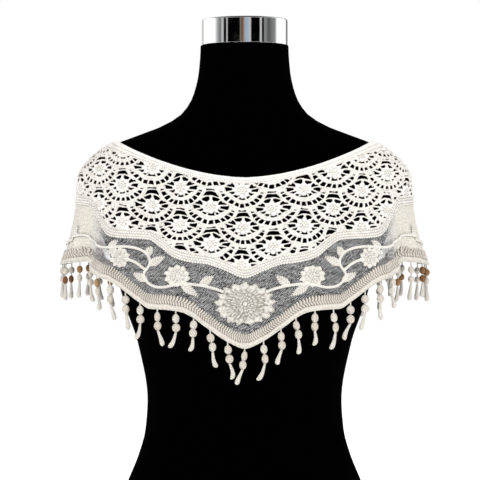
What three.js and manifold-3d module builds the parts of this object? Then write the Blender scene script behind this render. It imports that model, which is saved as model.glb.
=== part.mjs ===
/**
 * A lace shoulder cape worn on a limbless dress form that stands on its flat base.
 *
 * The cape is a front and a back piece that meet along the shoulders and down the sides. Each piece is a neck
 * band, an openwork crochet panel, a dense stepped band, a tulle panel with raised flowers and a trailing vine,
 * a ribbed hem band, and a fringe of beaded drops. Lengths are millimetres, +Z is up and the front faces -Y.
 */
import * as THREE from "three";
import { mergeVertices } from "three/addons/utils/BufferGeometryUtils.js";
import Module from "manifold-3d";

const wasm = await Module();
wasm.setup();

// Driving dimensions.
const EASE = 2.8; // from the form to the inside of the cloth on the shoulders
const SEAM = 0.35; // gap between pieces that are sewn together
const SHOULDER_Z = 451; // where the form is widest; the cloth hangs free below
const CLOTH = { band: 2.6, crochet: 2, net: 1, hem: 2.4 };
const NECK_BAND = 6;
const CROCHET_BAND = 10;
const HEM_BAND = 15;
const CAP = { radius: 50.3, height: 30.4, bevel: 1.6 };
const LATTICE = { column: 34.8, middle: -3, row: 44, zeroZ: 395, bow: 3.2, tilt: 0.02, columns: 7, rise: 14 };
const DROP = { spacing: 22.2, strip: 2.4, cord: 0.9, bead: 4.8, tail: 3.6, length: 42 };

// The form's level sections: half width, and depth in front of and behind its middle plane.
const FORM = [
  { z: 0, side: 156, front: 92, back: 108 },
  { z: 34, side: 157, front: 95, back: 110 },
  { z: 66, side: 149, front: 94, back: 105 },
  { z: 103, side: 135, front: 91, back: 96 },
  { z: 130, side: 124, front: 87, back: 87 },
  { z: 160, side: 116, front: 83, back: 78 },
  { z: 195, side: 113.5, front: 81, back: 73 },
  { z: 260, side: 124.5, front: 96, back: 80 },
  { z: 300, side: 138, front: 112, back: 89 },
  { z: 362, side: 157, front: 118, back: 98 },
  { z: 397, side: 172, front: 109, back: 101 },
  { z: 422, side: 184, front: 100.5, back: 100 },
  { z: 440, side: 191, front: 94.5, back: 98 },
  { z: 451, side: 192, front: 90.5, back: 96 },
  { z: 462, side: 188, front: 86, back: 93 },
  { z: 474, side: 178.5, front: 81, back: 89 },
  { z: 486, side: 164.5, front: 75.5, back: 84.5 },
  { z: 496, side: 144, front: 71, back: 80 },
  { z: 506, side: 117, front: 66.5, back: 74 },
  { z: 516, side: 92, front: 62, back: 68 },
  { z: 530, side: 72, front: 58, back: 62 },
  { z: 550, side: 60, front: 54, back: 57 },
  { z: 578, side: 53.5, front: 52, back: 53 },
  { z: 608, side: 51.5, front: 51.5, back: 51.5 },
];
// The inside of the hanging cloth below the shoulders.
const DRAPE = [
  { z: 250, side: 228, front: 126.8, back: 112.8 },
  { z: 290, side: 225, front: 125.6, back: 110.6 },
  { z: 320, side: 221, front: 124.2, back: 108.6 },
  { z: 345, side: 216, front: 122.6, back: 106.6 },
  { z: 370, side: 208, front: 118.8, back: 104.6 },
  { z: 397, side: 201, front: 110.8, back: 103.2 },
  { z: 420, side: 197, front: 102.9, back: 102 },
  { z: 440, side: 195.1, front: 97, back: 100.5 },
  { z: 451, side: 194.8, front: 93.3, back: 98.8 },
];
// Vertical folds: place along the half front, and depth at the hem on the wearer's right (-X) and left.
const FOLDS = [
  { across: 0.765, width: 0.058, right: 10.5, left: 9 },
  { across: 0.66, width: 0.035, right: 2.5, left: 3.5 },
  { across: 0.9, width: 0.04, right: 2.5, left: 3.5 },
];
const FOLD_TOP = 415;
const FOLD_FULL = 352;
// Heights of the crochet panel's stepped lower border and of the hem, by share of the way to the side seam.
const CROCHET_EDGE = [
  { across: 0, z: 338 },
  { across: 0.08, z: 346 },
  { across: 0.155, z: 353 },
  { across: 0.23, z: 355.5 },
  { across: 0.3, z: 360.5 },
  { across: 0.367, z: 372 },
  { across: 0.43, z: 380.5 },
  { across: 0.592, z: 383 },
  { across: 0.64, z: 385.5 },
  { across: 0.69, z: 395 },
  { across: 0.745, z: 410.5 },
  { across: 0.8, z: 419.5 },
  { across: 0.95, z: 422 },
  { across: 1, z: 422.5 },
];
const HEM_EDGE = [
  { across: 0, z: 262.5 },
  { across: 0.05, z: 267.5 },
  { across: 0.16, z: 287.5 },
  { across: 0.21, z: 297.5 },
  { across: 0.255, z: 303 },
  { across: 0.32, z: 305.5 },
  { across: 0.385, z: 306.5 },
  { across: 0.437, z: 314.5 },
  { across: 0.53, z: 330.5 },
  { across: 0.58, z: 337 },
  { across: 0.64, z: 341 },
  { across: 0.7, z: 348 },
  { across: 0.765, z: 359 },
  { across: 0.85, z: 357 },
  { across: 1, z: 354 },
];
// The neckline's height at the centre of each piece, and how much higher it is on the shoulder.
const NECKLINE = { front: { centre: 451.5, rise: 44 }, back: { centre: 475.5, rise: 20 } };
const NECKLINE_CURVE = 1.8;

// The larger gaps of one half of a crochet repeat, measured from the middle of its flower.
const GAPS = [
  { across: 6.3, up: 9.7, wide: 8.2, high: 4.4, tilt: -16 },
  { across: 12.9, up: 1.8, wide: 6.4, high: 4.8, tilt: 0 },
];
const GAP_MARGIN = 2; // crochet left between a gap and the panel's edge

// The vine on one half of the tulle, from the centre flower to the side: distance across, and height.
const VINE = [
  { x: 33, z: 326.5 },
  { x: 48, z: 330 },
  { x: 70, z: 332 },
  { x: 93, z: 328 },
  { x: 107, z: 331 },
  { x: 115, z: 341.5 },
  { x: 107.5, z: 355 },
  { x: 114, z: 367 },
  { x: 134, z: 373 },
  { x: 170, z: 372.5 },
  { x: 184, z: 377 },
  { x: 196, z: 385 },
  { x: 214, z: 386.5 },
  { x: 236, z: 380.5 },
  { x: 257, z: 376 },
];
const BRANCH = [
  { x: 112.5, z: 347 },
  { x: 124, z: 355 },
  { x: 136, z: 359.5 },
];
const LEAVES = [
  { x: 50, z: 330, toX: 34.5, toZ: 341 },
  { x: 71, z: 331, toX: 52, toZ: 318.5 },
  { x: 108.8, z: 353, toX: 90, toZ: 362 },
  { x: 112, z: 363.5, toX: 105, toZ: 373.5 },
  { x: 110.5, z: 335.5, toX: 128, toZ: 343.5 },
  { x: 160, z: 373, toX: 148, toZ: 379.5 },
  { x: 150, z: 373, toX: 163, toZ: 364 },
  { x: 224, z: 384, toX: 213, toZ: 397 },
];
const BLOOMS = [
  { x: 76, z: 340.5, wide: 15, high: 12, petals: 6 },
  { x: 145, z: 361, wide: 12, high: 11, petals: 6 },
];
const CENTRE_BLOOM = { x: 0, z: 309.5, wide: 33, high: 23, petals: 12 };
const VINE_WIDTH = 3.4;
const VINE_STEP = 15;
// Heights above the inside of the cloth: of the undersides of what lies on the tulle, and of its tops.
const APPLIQUE = { low: CLOTH.net + 1.4, centreLow: CLOTH.net + 0.5, vine: 4.2, leaf: 4.6, bloom: 6, centre: 8 };
const STOPS = 36; // from side seam to side seam

/** A smooth curve through the rows of a table, which never overshoots them. */
function lookup(rows, key, column, at) {
  const last = rows.length - 1;
  const slope = (i) => (rows[i + 1][column] - rows[i][column]) / (rows[i + 1][key] - rows[i][key]);
  const tangent = (i) => {
    if (i === 0 || i === last) return 0;
    const [before, after] = [slope(i - 1), slope(i)];
    return before * after <= 0 ? 0 : (2 * before * after) / (before + after);
  };
  const value = THREE.MathUtils.clamp(at, rows[0][key], rows[last][key]);
  const i = Math.min(last - 1, Math.max(0, rows.findIndex((row) => row[key] >= value) - 1));
  const span = rows[i + 1][key] - rows[i][key];
  const s = (value - rows[i][key]) / span;
  const [s2, s3] = [s * s, s * s * s];
  return (
    (2 * s3 - 3 * s2 + 1) * rows[i][column] +
    (s3 - 2 * s2 + s) * span * tangent(i) +
    (3 * s2 - 2 * s3) * rows[i + 1][column] +
    (s3 - s2) * span * tangent(i + 1)
  );
}

/** The half width and half depth of the cloth's inside at a height, for the "front" or "back" piece. */
function capeSection(piece, z) {
  if (z >= SHOULDER_Z) {
    return { side: lookup(FORM, "z", "side", z) + EASE, depth: lookup(FORM, "z", piece, z) + EASE };
  }
  return { side: lookup(DRAPE, "z", "side", z), depth: lookup(DRAPE, "z", piece, z) };
}

const ARC_STEPS = 40;

/** Running arc length of a quarter ellipse from its depth end to its side end. */
function quarterArc({ side, depth }) {
  const lengths = [0];
  for (let i = 1; i <= ARC_STEPS; i++) {
    const [a, b] = [(i - 1) * (Math.PI / 2 / ARC_STEPS), i * (Math.PI / 2 / ARC_STEPS)];
    const step = Math.hypot(side * (Math.sin(b) - Math.sin(a)), depth * (Math.cos(b) - Math.cos(a)));
    lengths.push(lengths[i - 1] + step);
  }
  return lengths;
}

/** The length round the cloth from the centre line to the side seam at a height. */
const quarterLength = (piece, z) => quarterArc(capeSection(piece, z))[ARC_STEPS];

/** How far the vertical folds pull the cloth in, at a share of the way to the side seam. */
function foldDepth(across, z) {
  const grown = THREE.MathUtils.smoothstep(FOLD_TOP - z, 0, FOLD_TOP - FOLD_FULL);
  const hand = across < 0 ? "right" : "left";
  return FOLDS.reduce((sum, fold) => {
    const away = (Math.abs(across) - fold.across) / fold.width;
    return sum + grown * fold[hand] * Math.exp(-away * away);
  }, 0);
}

/** A point on the inside of the cloth; across runs from -1 to 1 between the side seams. */
function insidePoint(piece, across, z) {
  const section = capeSection(piece, z);
  const arc = quarterArc(section);
  const target = Math.min(1, Math.abs(across)) * arc[ARC_STEPS];
  const i = Math.min(ARC_STEPS - 1, Math.max(0, arc.findIndex((length) => length >= target) - 1));
  const share = (target - arc[i]) / (arc[i + 1] - arc[i]);
  const angle = (i + share) * (Math.PI / 2 / ARC_STEPS);
  const fold = foldDepth(across, z);
  const x = Math.sign(across) * (section.side - fold) * Math.sin(angle);
  const y = (section.depth - fold) * Math.cos(angle);
  return new THREE.Vector3(x, piece === "front" ? -y : y, z);
}

/** A point that stands off the inside of the cloth along its outward normal. */
function clothPoint(piece, across, z, offset) {
  const step = 0.004;
  const point = insidePoint(piece, across, z);
  const [low, high] = [Math.max(-1, across - step), Math.min(1, across + step)];
  const along = insidePoint(piece, high, z).sub(insidePoint(piece, low, z));
  const up = insidePoint(piece, across, z + 1).sub(insidePoint(piece, across, z - 1));
  const normal = along.cross(up).normalize();
  if (normal.dot(new THREE.Vector3(point.x, point.y, 0)) < 0) normal.negate();
  return point.addScaledVector(normal, offset);
}

/** A point of the cloth from its distance round from the centre line. */
const roundPoint = (piece, x, z, offset) =>
  clothPoint(piece, THREE.MathUtils.clamp(x / quarterLength(piece, z), -1, 1), z, offset);

const neckZ = (piece, across) => {
  const { centre, rise } = NECKLINE[piece];
  return centre + rise * Math.pow(Math.sin((Math.PI / 2) * Math.min(1, Math.abs(across))), NECKLINE_CURVE);
};
const crochetZ = (across) => lookup(CROCHET_EDGE, "across", "z", Math.abs(across));
const hemZ = (across) => lookup(HEM_EDGE, "across", "z", Math.abs(across));

/** A geometry from shared points and triangles. */
function geometryOf(points, triangles) {
  const geometry = new THREE.BufferGeometry();
  const coordinates = points.flatMap((point) => point.toArray());
  geometry.setAttribute("position", new THREE.Float32BufferAttribute(coordinates, 3));
  geometry.setIndex(triangles.flat());
  return geometry;
}

/** A closed geometry with its faces turned out, if they point in. */
function outward(geometry) {
  const position = geometry.getAttribute("position");
  const numbers = Array.from(geometry.index.array);
  let sixfoldVolume = 0;
  for (let i = 0; i < numbers.length; i += 3) {
    const [a, b, c] = numbers.slice(i, i + 3).map((n) => new THREE.Vector3().fromBufferAttribute(position, n));
    sixfoldVolume += a.dot(b.cross(c));
  }
  return sixfoldVolume < 0 ? geometry.setIndex(numbers.reverse()) : geometry;
}

/** A solid from a closed geometry. */
function solidOf(geometry) {
  const { attributes, index } = mergeVertices(outward(geometry), 1e-4);
  const vertProperties = Float32Array.from(attributes.position.array);
  const triVerts = Uint32Array.from(index.array);
  return new wasm.Manifold(new wasm.Mesh({ numProp: 3, vertProperties, triVerts }));
}

/** The geometry of a solid. */
function geometryFrom(solid) {
  const { numProp, numVert, vertProperties, triVerts } = solid.getMesh();
  const positions = new Float32Array(numVert * 3);
  for (let i = 0; i < numVert; i++) positions.set(vertProperties.subarray(i * numProp, i * numProp + 3), i * 3);
  const geometry = new THREE.BufferGeometry().setAttribute("position", new THREE.BufferAttribute(positions, 3));
  return geometry.setIndex(new THREE.BufferAttribute(triVerts, 1));
}

/**
 * A closed geometry through rings of equally many points, one after another, with each end closed flat.
 * Each ring runs the same way round, seen from the first ring.
 */
function loft(rings) {
  const sides = rings[0].length;
  const points = rings.flat();
  const triangles = [];
  for (let r = 0; r + 1 < rings.length; r++) {
    for (let i = 0; i < sides; i++) {
      const [a, b] = [r * sides + i, r * sides + ((i + 1) % sides)];
      triangles.push([a, b, a + sides], [b, b + sides, a + sides]);
    }
  }
  const end = (rings.length - 1) * sides;
  for (let i = 1; i + 1 < sides; i++) {
    triangles.push([0, i + 1, i], [end, end + i, end + i + 1]);
  }
  return geometryOf(points, triangles);
}

/** A wall of cloth between two heights that vary across the piece. */
function wall(piece, topZ, bottomZ, rows, thickness) {
  const rings = acrossStops(piece).map((across) => {
    const [top, bottom] = [topZ(across), bottomZ(across)];
    const zAt = (row) => top + ((bottom - top) * row) / rows;
    const outer = Array.from({ length: rows + 1 }, (_, row) => clothPoint(piece, across, zAt(row), thickness));
    const inner = Array.from({ length: rows + 1 }, (_, row) => clothPoint(piece, across, zAt(rows - row), 0));
    return [...outer, ...inner];
  });
  return geometryOf(rings.flat(), stripTriangles(rings.length, 2 * (rows + 1), rows));
}

/** Triangles that join the rings of a wall, and close its two ends by pairing outer with inner points. */
function stripTriangles(count, size, rows) {
  const triangles = [];
  for (let r = 0; r + 1 < count; r++) {
    for (let i = 0; i < size; i++) {
      const [a, b] = [r * size + i, r * size + ((i + 1) % size)];
      triangles.push([a, b, a + size], [b, b + size, a + size]);
    }
  }
  const end = (count - 1) * size;
  for (let row = 0; row < rows; row++) {
    const [a, b, c, d] = [row, row + 1, size - 2 - row, size - 1 - row];
    triangles.push([a, d, c], [a, c, b]);
    triangles.push([end + a, end + c, end + d], [end + a, end + b, end + c]);
  }
  return triangles;
}

/** Stops from side seam to side seam, closer together where the cloth turns or folds. */
function acrossStops(piece, count = STOPS) {
  const edge = 1 - SEAM / 2 / quarterLength(piece, SHOULDER_Z);
  return Array.from({ length: count + 1 }, (_, i) => {
    const even = (2 * i) / count - 1;
    const eased = Math.sign(even) * Math.pow(Math.abs(even), 0.9);
    return THREE.MathUtils.clamp(eased, -edge, edge);
  });
}

/** The height at a distance along the cloth above (or below) the lattice's zero row. */
function latticeZ(piece, x, along) {
  const step = 2;
  const direction = Math.sign(along) || 1;
  let z = LATTICE.zeroZ;
  let left = Math.abs(along);
  let point = roundPoint(piece, x, z, 0);
  while (left > 0) {
    if (Math.abs(x) > quarterLength(piece, z)) return Infinity;
    const next = roundPoint(piece, x, z + direction * step, 0);
    const length = next.distanceTo(point);
    z += direction * step * Math.min(1, left / length);
    left -= length;
    point = next;
  }
  return z;
}

/** How much higher the rows lie at a distance across than at the middle column. */
function rowBow(x) {
  const aside = x - LATTICE.middle;
  const turn = Math.min(LATTICE.columns, Math.abs(aside) / LATTICE.column) / LATTICE.columns;
  return LATTICE.bow * Math.sin(Math.PI * turn) - LATTICE.tilt * aside;
}

/** The distance across of a column of flowers, which may be a half column. */
const columnX = (column) => LATTICE.middle + column * LATTICE.column;

/** The middles of the crochet's flowers: alternate columns are half a row apart. */
function flowerMiddles() {
  const middles = [];
  for (let column = -LATTICE.columns; column <= LATTICE.columns; column++) {
    const shift = column % 2 === 0 ? 0 : 0.5;
    for (let row = -2; row <= 3; row++) {
      middles.push({ x: columnX(column), along: (row + shift) * LATTICE.row });
    }
  }
  return middles;
}

/** The place at an offset from a flower's middle, measured on the cloth. */
function nearFlower(piece, middle, across, up) {
  const x = middle.x + across;
  const z = latticeZ(piece, x, middle.along + rowBow(middle.x) + up);
  return { x, z, share: x / quarterLength(piece, z) };
}

/** Whether a place lies in the crochet panel, clear of its edges. */
function inCrochet(piece, place) {
  if (!Number.isFinite(place.z) || Math.abs(place.share) > 0.985) return false;
  const top = neckZ(piece, place.share) - NECK_BAND - GAP_MARGIN;
  return place.z < top && place.z > crochetZ(place.share) + CROCHET_BAND + GAP_MARGIN;
}

/** The outline of a gap on the left (1) or right (-1) of a flower, or null where it would leave the panel. */
function gapOutline(piece, middle, { across, up, wide, high, tilt }, hand) {
  const turn = THREE.MathUtils.degToRad(tilt);
  const places = [[-1, -1], [1, -1], [1, 1], [-1, 1]].map(([i, j]) => {
    const [u, v] = [(i * wide) / 2, (j * high) / 2];
    const aside = across + u * Math.cos(turn) - v * Math.sin(turn);
    return nearFlower(piece, middle, hand * aside, up + u * Math.sin(turn) + v * Math.cos(turn));
  });
  if (!places.every((place) => inCrochet(piece, place))) return null;
  return places.map(({ x, z }) => new THREE.Vector2(x, z));
}

/** A flat pattern of triangles over distance across and height, whose outlines share their points. */
class Pattern {
  constructor() {
    this.points = [];
    this.triangles = [];
    this.numbers = new Map();
  }

  /** The number of a point, which is added once. */
  number(point) {
    const key = `${point.x.toFixed(3)} ${point.y.toFixed(3)}`;
    if (!this.numbers.has(key)) this.numbers.set(key, this.points.push(point) - 1);
    return this.numbers.get(key);
  }

  /** Fills an outline, leaving its holes. */
  fill(outline, holes) {
    const faces = THREE.ShapeUtils.triangulateShape(outline, holes);
    const numbers = [outline, ...holes].flat().map((point) => this.number(point));
    this.triangles.push(...faces.map((face) => face.map((i) => numbers[i])));
  }

  /** Turns the edge between two triangles where the other diagonal is shorter, over the whole pattern. */
  shortenEdges() {
    const owner = new Map();
    this.triangles.forEach((corners, n) => {
      corners.forEach((a, i) => owner.set(`${a} ${corners[(i + 1) % 3]}`, n));
    });
    const turned = new Set();
    for (const [edge, n] of owner) {
      const [a, b] = edge.split(" ").map(Number);
      const m = owner.get(`${b} ${a}`);
      if (m === undefined || turned.has(n) || turned.has(m)) continue;
      const c = this.triangles[n].find((corner) => corner !== a && corner !== b);
      const d = this.triangles[m].find((corner) => corner !== a && corner !== b);
      const isShorter = this.length(c, d) < 0.98 * this.length(a, b);
      if (isShorter && this.area(a, d, c) > 0.5 && this.area(d, b, c) > 0.5) {
        this.triangles[n] = [a, d, c];
        this.triangles[m] = [d, b, c];
        turned.add(n).add(m);
      }
    }
    return turned.size;
  }

  length(a, b) {
    return this.points[a].distanceTo(this.points[b]);
  }

  area(a, b, c) {
    const [from, to] = [b, c].map((corner) => this.points[corner].clone().sub(this.points[a]));
    return from.cross(to) / 2;
  }

  /** The edges that only one triangle has, each in that triangle's direction. */
  freeEdges() {
    const edges = this.triangles.flatMap(([a, b, c]) => [[a, b], [b, c], [c, a]]);
    const known = new Set(edges.map(([a, b]) => `${a} ${b}`));
    return edges.filter(([a, b]) => !known.has(`${b} ${a}`));
  }

  /** The pattern as cloth of even thickness, with a side along every free edge. */
  cloth(piece, thickness) {
    const layer = (offset) => this.points.map((point) => roundPoint(piece, point.x, point.y, offset));
    const count = this.points.length;
    const sides = this.freeEdges().flatMap(([a, b]) => [[b, a, a + count], [b, a + count, b + count]]);
    const inner = this.triangles.map(([a, b, c]) => [c + count, b + count, a + count]);
    return geometryOf([...layer(thickness), ...layer(0)], [...this.triangles, ...inner, ...sides]);
  }
}

/** The part of an outline on one side of an upright line; side is 1 to keep what is right of it, else -1. */
function clip(outline, line, side) {
  return outline.flatMap((point, i) => {
    const next = outline[(i + 1) % outline.length];
    const kept = side * (point.x - line) >= 0 ? [point] : [];
    if ((point.x - line) * (next.x - line) < 0) {
      const [from, to] = point.x < next.x ? [point, next] : [next, point];
      kept.push(from.clone().lerp(to, (line - from.x) / (to.x - from.x)));
    }
    return kept;
  });
}

/** An outline with points added along its upright edges at even heights. */
function splitUprights(outline, rise) {
  return outline.flatMap((point, i) => {
    const next = outline[(i + 1) % outline.length];
    if (Math.abs(next.x - point.x) > 1e-6) return [point];
    const [low, high] = [Math.min(point.y, next.y), Math.max(point.y, next.y)];
    const added = [];
    for (let z = Math.ceil(low / rise + 0.3) * rise; z < high - 0.3 * rise; z += rise) {
      added.push(new THREE.Vector2(point.x, z));
    }
    return [point, ...(next.y > point.y ? added : added.reverse())];
  });
}

/** The outline of the crochet panel, as distance across and height. */
function crochetOutline(piece) {
  const top = (across) => neckZ(piece, across) - NECK_BAND - SEAM;
  const bottom = (across) => crochetZ(across) + CROCHET_BAND + SEAM;
  const stops = acrossStops(piece);
  const at = (across, z) => new THREE.Vector2(across * quarterLength(piece, z), z);
  const seam = (across) => {
    const [low, high] = [bottom(across), top(across)];
    return [1, 2, 3, 4].map((step) => at(across, low + ((high - low) * step) / 5));
  };
  return [
    ...stops.map((across) => at(across, bottom(across))),
    ...seam(stops.at(-1)),
    ...stops.toReversed().map((across) => at(across, top(across))),
    ...seam(stops[0]).reverse(),
  ];
}

/** The openwork crochet panel of one piece, filled in upright strips half a column wide. */
function crochetPanel(piece) {
  const pattern = new Pattern();
  const outline = crochetOutline(piece);
  const gaps = flowerMiddles().flatMap((middle) =>
    GAPS.flatMap((gap) => [1, -1].map((hand) => gapOutline(piece, middle, gap, hand))),
  );
  const most = 2 * LATTICE.columns;
  for (let number = -most; number <= most + 1; number++) {
    const left = number === -most ? -Infinity : columnX((number - 1) / 2);
    const right = number === most + 1 ? Infinity : columnX(number / 2);
    const sides = clip(clip(outline, left, 1), right, -1);
    const holes = gaps.filter((gap) => gap && gap.every(({ x }) => x > left && x < right));
    pattern.fill(splitUprights(sides, LATTICE.rise), holes);
  }
  while (pattern.shortenEdges());
  return pattern.cloth(piece, CLOTH.crochet);
}

/** A ridge on the tulle along a route, as wide at each stop as widthAt says. */
function ribbon(piece, route, widthAt, high) {
  const rings = route.map(({ x, z }, i) => {
    const [before, after] = [route[Math.max(0, i - 1)], route[Math.min(route.length - 1, i + 1)]];
    const [dx, dz] = [after.x - before.x, after.z - before.z];
    const half = widthAt(i / (route.length - 1)) / 2 / Math.hypot(dx, dz);
    const edge = (sign, offset) => roundPoint(piece, x - sign * dz * half, z + sign * dx * half, offset);
    return [edge(1, APPLIQUE.low), edge(-1, APPLIQUE.low), edge(0, high)];
  });
  return loft(rings);
}

/** A leaf on the tulle, pointed at both ends. */
function leaf(piece, hand, { x, z, toX, toZ }) {
  const stops = [0, 0.45, 1];
  const route = stops.map((s) => ({ x: hand * (x + (toX - x) * s), z: z + (toZ - z) * s }));
  return ribbon(piece, route, (s) => 1.6 + 6.4 * Math.sin(Math.PI * Math.pow(s, 0.8)), APPLIQUE.leaf);
}

/** A bloom on the tulle: a petalled outline with a raised middle. */
function bloom(piece, hand, { x, z, wide, high, petals }, low, rise) {
  const ring = (share, offset, depth) =>
    Array.from({ length: 2 * petals }, (_, i) => {
      const angle = (Math.PI * i) / petals;
      const reach = share * (i % 2 ? 1 : 1 - depth);
      const [aside, up] = [wide * reach * Math.cos(angle), high * reach * Math.sin(angle)];
      return roundPoint(piece, hand * x + aside, z + up, offset);
    });
  const under = [ring(0.35, low, 0), ring(1, low, 0.16)];
  return loft([...under, ring(1, (low + rise) / 2, 0.16), ring(0.45, rise, 0)]);
}

/** A smooth route through the rows of a table, with even stops about a step apart. */
function smoothRoute(rows, hand, step) {
  const curve = new THREE.SplineCurve(rows.map(({ x, z }) => new THREE.Vector2(hand * x, z)));
  return curve.getSpacedPoints(Math.round(curve.getLength() / step)).map(({ x, y }) => ({ x, z: y }));
}

/** The vine of one half of the tulle, with its branch, leaves and small blooms in one piece. */
function vine(piece, hand) {
  const routes = [VINE, BRANCH].map((rows) => smoothRoute(rows, hand, VINE_STEP));
  const parts = [
    ...routes.map((route) => ribbon(piece, route, () => VINE_WIDTH, APPLIQUE.vine)),
    ...LEAVES.map((row) => leaf(piece, hand, row)),
    ...BLOOMS.map((row) => bloom(piece, hand, row, APPLIQUE.low, APPLIQUE.bloom)),
  ];
  return geometryFrom(parts.map(solidOf).reduce((whole, part) => whole.add(part)));
}

/** A repeatable number from 0 to 1 for a drop. */
const scatter = (index, salt) => {
  const value = Math.sin(index * 12.9898 + salt * 78.233) * 43758.5453;
  return value - Math.floor(value);
};

/** The places of the drops along the hem, evenly spaced, as shares across the piece. */
function dropPlaces(piece) {
  const fine = acrossStops(piece, 400);
  const points = fine.map((across) => clothPoint(piece, across, hemZ(across), 0));
  const along = [0];
  points.forEach((point, i) => i && along.push(along[i - 1] + point.distanceTo(points[i - 1])));
  const count = Math.round(along.at(-1) / DROP.spacing);
  return Array.from({ length: count }, (_, i) => {
    const target = ((i + 0.5) / count) * along.at(-1);
    return fine[along.findIndex((length) => length >= target)];
  });
}

/** The middle of the strip under the hem at a share across, on its straight stretch between two stops. */
function stripPoint(piece, across) {
  const stops = acrossStops(piece);
  const after = stops.findIndex((stop) => stop > across);
  const [start, end] = [stops[after - 1], stops[after]];
  const at = (stop) => clothPoint(piece, stop, hemZ(stop) - SEAM - DROP.strip / 2, CLOTH.hem / 2);
  return at(start).lerp(at(end), (across - start) / (end - start));
}

/** One drop: a cord, two round beads and a club-shaped tail, four points round. */
function drop(piece, across, index) {
  const root = stripPoint(piece, across);
  const scale = 0.9 + 0.2 * scatter(index, 1);
  const lean = (scatter(index, 2) - 0.5) * 7;
  const kick = (scatter(index, 3) - 0.5) * 20;
  const bead = (salt) => DROP.bead * (0.8 + 0.24 * scatter(index, salt));
  const stops = [
    { down: 0, radius: DROP.cord, shift: 0 },
    { down: 0.21, radius: bead(4), shift: 0.25 * lean },
    { down: 0.34, radius: DROP.cord, shift: 0.6 * lean },
    { down: 0.46, radius: bead(5), shift: lean },
    { down: 0.59, radius: DROP.cord, shift: lean },
    { down: 1, radius: DROP.tail, shift: lean + kick },
  ];
  const rings = stops.map(({ down, radius, shift }) => {
    const z = root.z - down * DROP.length * scale;
    const slant = shift * Math.cos((Math.PI / 2) * across);
    return [0, 1, 2, 3].map((corner) => {
      const angle = (Math.PI / 2) * corner;
      return new THREE.Vector3(root.x + slant + radius * Math.cos(angle), root.y + radius * Math.sin(angle), z);
    });
  });
  return loft(rings);
}

/** The fringe of one piece: a narrow strip along the hem with its drops fused to it. */
function fringe(piece) {
  const top = (across) => hemZ(across) - SEAM;
  const bottom = (across) => hemZ(across) - SEAM - DROP.strip;
  const strip = solidOf(wall(piece, top, bottom, 1, CLOTH.hem));
  const places = dropPlaces(piece);
  const whole = places.reduce((sum, across, index) => sum.add(solidOf(drop(piece, across, index))), strip);
  return geometryFrom(whole);
}

/** The dress form, from its flat base to the top of its neck. */
function dressForm() {
  const sides = 26;
  const rings = FORM.map(({ z, side, front, back }) =>
    Array.from({ length: sides }, (_, i) => {
      const angle = (2 * Math.PI * i) / sides;
      const depth = Math.sin(angle) < 0 ? front : back;
      return new THREE.Vector3(side * Math.cos(angle), depth * Math.sin(angle), z);
    }),
  );
  return loft(rings);
}

/** The polished cap on the neck, with softened rims. */
function neckCap() {
  const { radius, height, bevel } = CAP;
  const profile = [
    [0, 0],
    [radius - bevel, 0],
    [radius, bevel],
    [radius, height - bevel],
    [radius - bevel, height],
    [0, height],
  ].map(([r, z]) => new THREE.Vector2(r, z));
  return new THREE.LatheGeometry(profile, 30);
}

/** A colour with its roughness and metalness. */
function finish(color, roughness, metalness = 0) {
  return new THREE.MeshStandardMaterial({ color, roughness, metalness });
}

const FINISHES = {
  form: finish(0x0b0b0c, 0.75),
  chrome: finish(0xd9dbde, 0.06, 1),
  crochet: finish(0xf1ebe1, 0.85),
  net: finish(0xe4e1dc, 0.8),
  embroidery: finish(0xf4efe6, 0.7),
  hem: finish(0xebe3d5, 0.85),
  drops: finish(0xefe8dc, 0.75),
};

const cape = new THREE.Group();

/** Adds a named piece to the group. */
function place(name, geometry, material) {
  const mesh = new THREE.Mesh(outward(geometry), material);
  mesh.name = name;
  cape.add(mesh);
  return mesh;
}

place("form", dressForm(), FINISHES.form);
const cap = place("neck_cap", neckCap(), FINISHES.chrome);
cap.rotation.x = Math.PI / 2;
cap.position.z = FORM.at(-1).z + SEAM;

for (const piece of ["front", "back"]) {
  const neckTop = (across) => neckZ(piece, across);
  const neckBottom = (across) => neckZ(piece, across) - NECK_BAND;
  const bandTop = (across) => crochetZ(across) + CROCHET_BAND;
  const netTop = (across) => crochetZ(across) - SEAM;
  const netBottom = (across) => hemZ(across) + HEM_BAND + SEAM;
  const hemTop = (across) => hemZ(across) + HEM_BAND;
  place(`neck_band_${piece}`, wall(piece, neckTop, neckBottom, 1, CLOTH.band), FINISHES.crochet);
  place(`crochet_${piece}`, crochetPanel(piece), FINISHES.crochet);
  place(`crochet_band_${piece}`, wall(piece, bandTop, crochetZ, 1, CLOTH.band), FINISHES.crochet);
  place(`net_${piece}`, wall(piece, netTop, netBottom, 2, CLOTH.net), FINISHES.net);
  place(`hem_band_${piece}`, wall(piece, hemTop, hemZ, 1, CLOTH.hem), FINISHES.hem);
  place(`fringe_${piece}`, fringe(piece), FINISHES.drops);
  const centreBloom = bloom(piece, 1, CENTRE_BLOOM, APPLIQUE.centreLow, APPLIQUE.centre);
  place(`centre_bloom_${piece}`, centreBloom, FINISHES.embroidery);
  place(`vine_right_${piece}`, vine(piece, -1), FINISHES.embroidery);
  place(`vine_left_${piece}`, vine(piece, 1), FINISHES.embroidery);
}

// The origin is under the middle of the whole, at the height of the form's base.
const middle = new THREE.Box3().setFromObject(cape, true).getCenter(new THREE.Vector3());
cape.position.set(-middle.x, -middle.y, 0);

export default cape;
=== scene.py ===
"""Dresses a lace shoulder cape and the limbless dress form that it is worn on.

The cloth is worked out on a flat pattern, as distance round from the centre line and height, and laid on the
drape that the cape has on the form. Tables and pattern sizes are in millimetres, and everything that reaches
Blender is in metres.
"""

import logging
import math
from dataclasses import dataclass, field
from enum import Enum
from typing import Callable, Sequence

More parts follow.
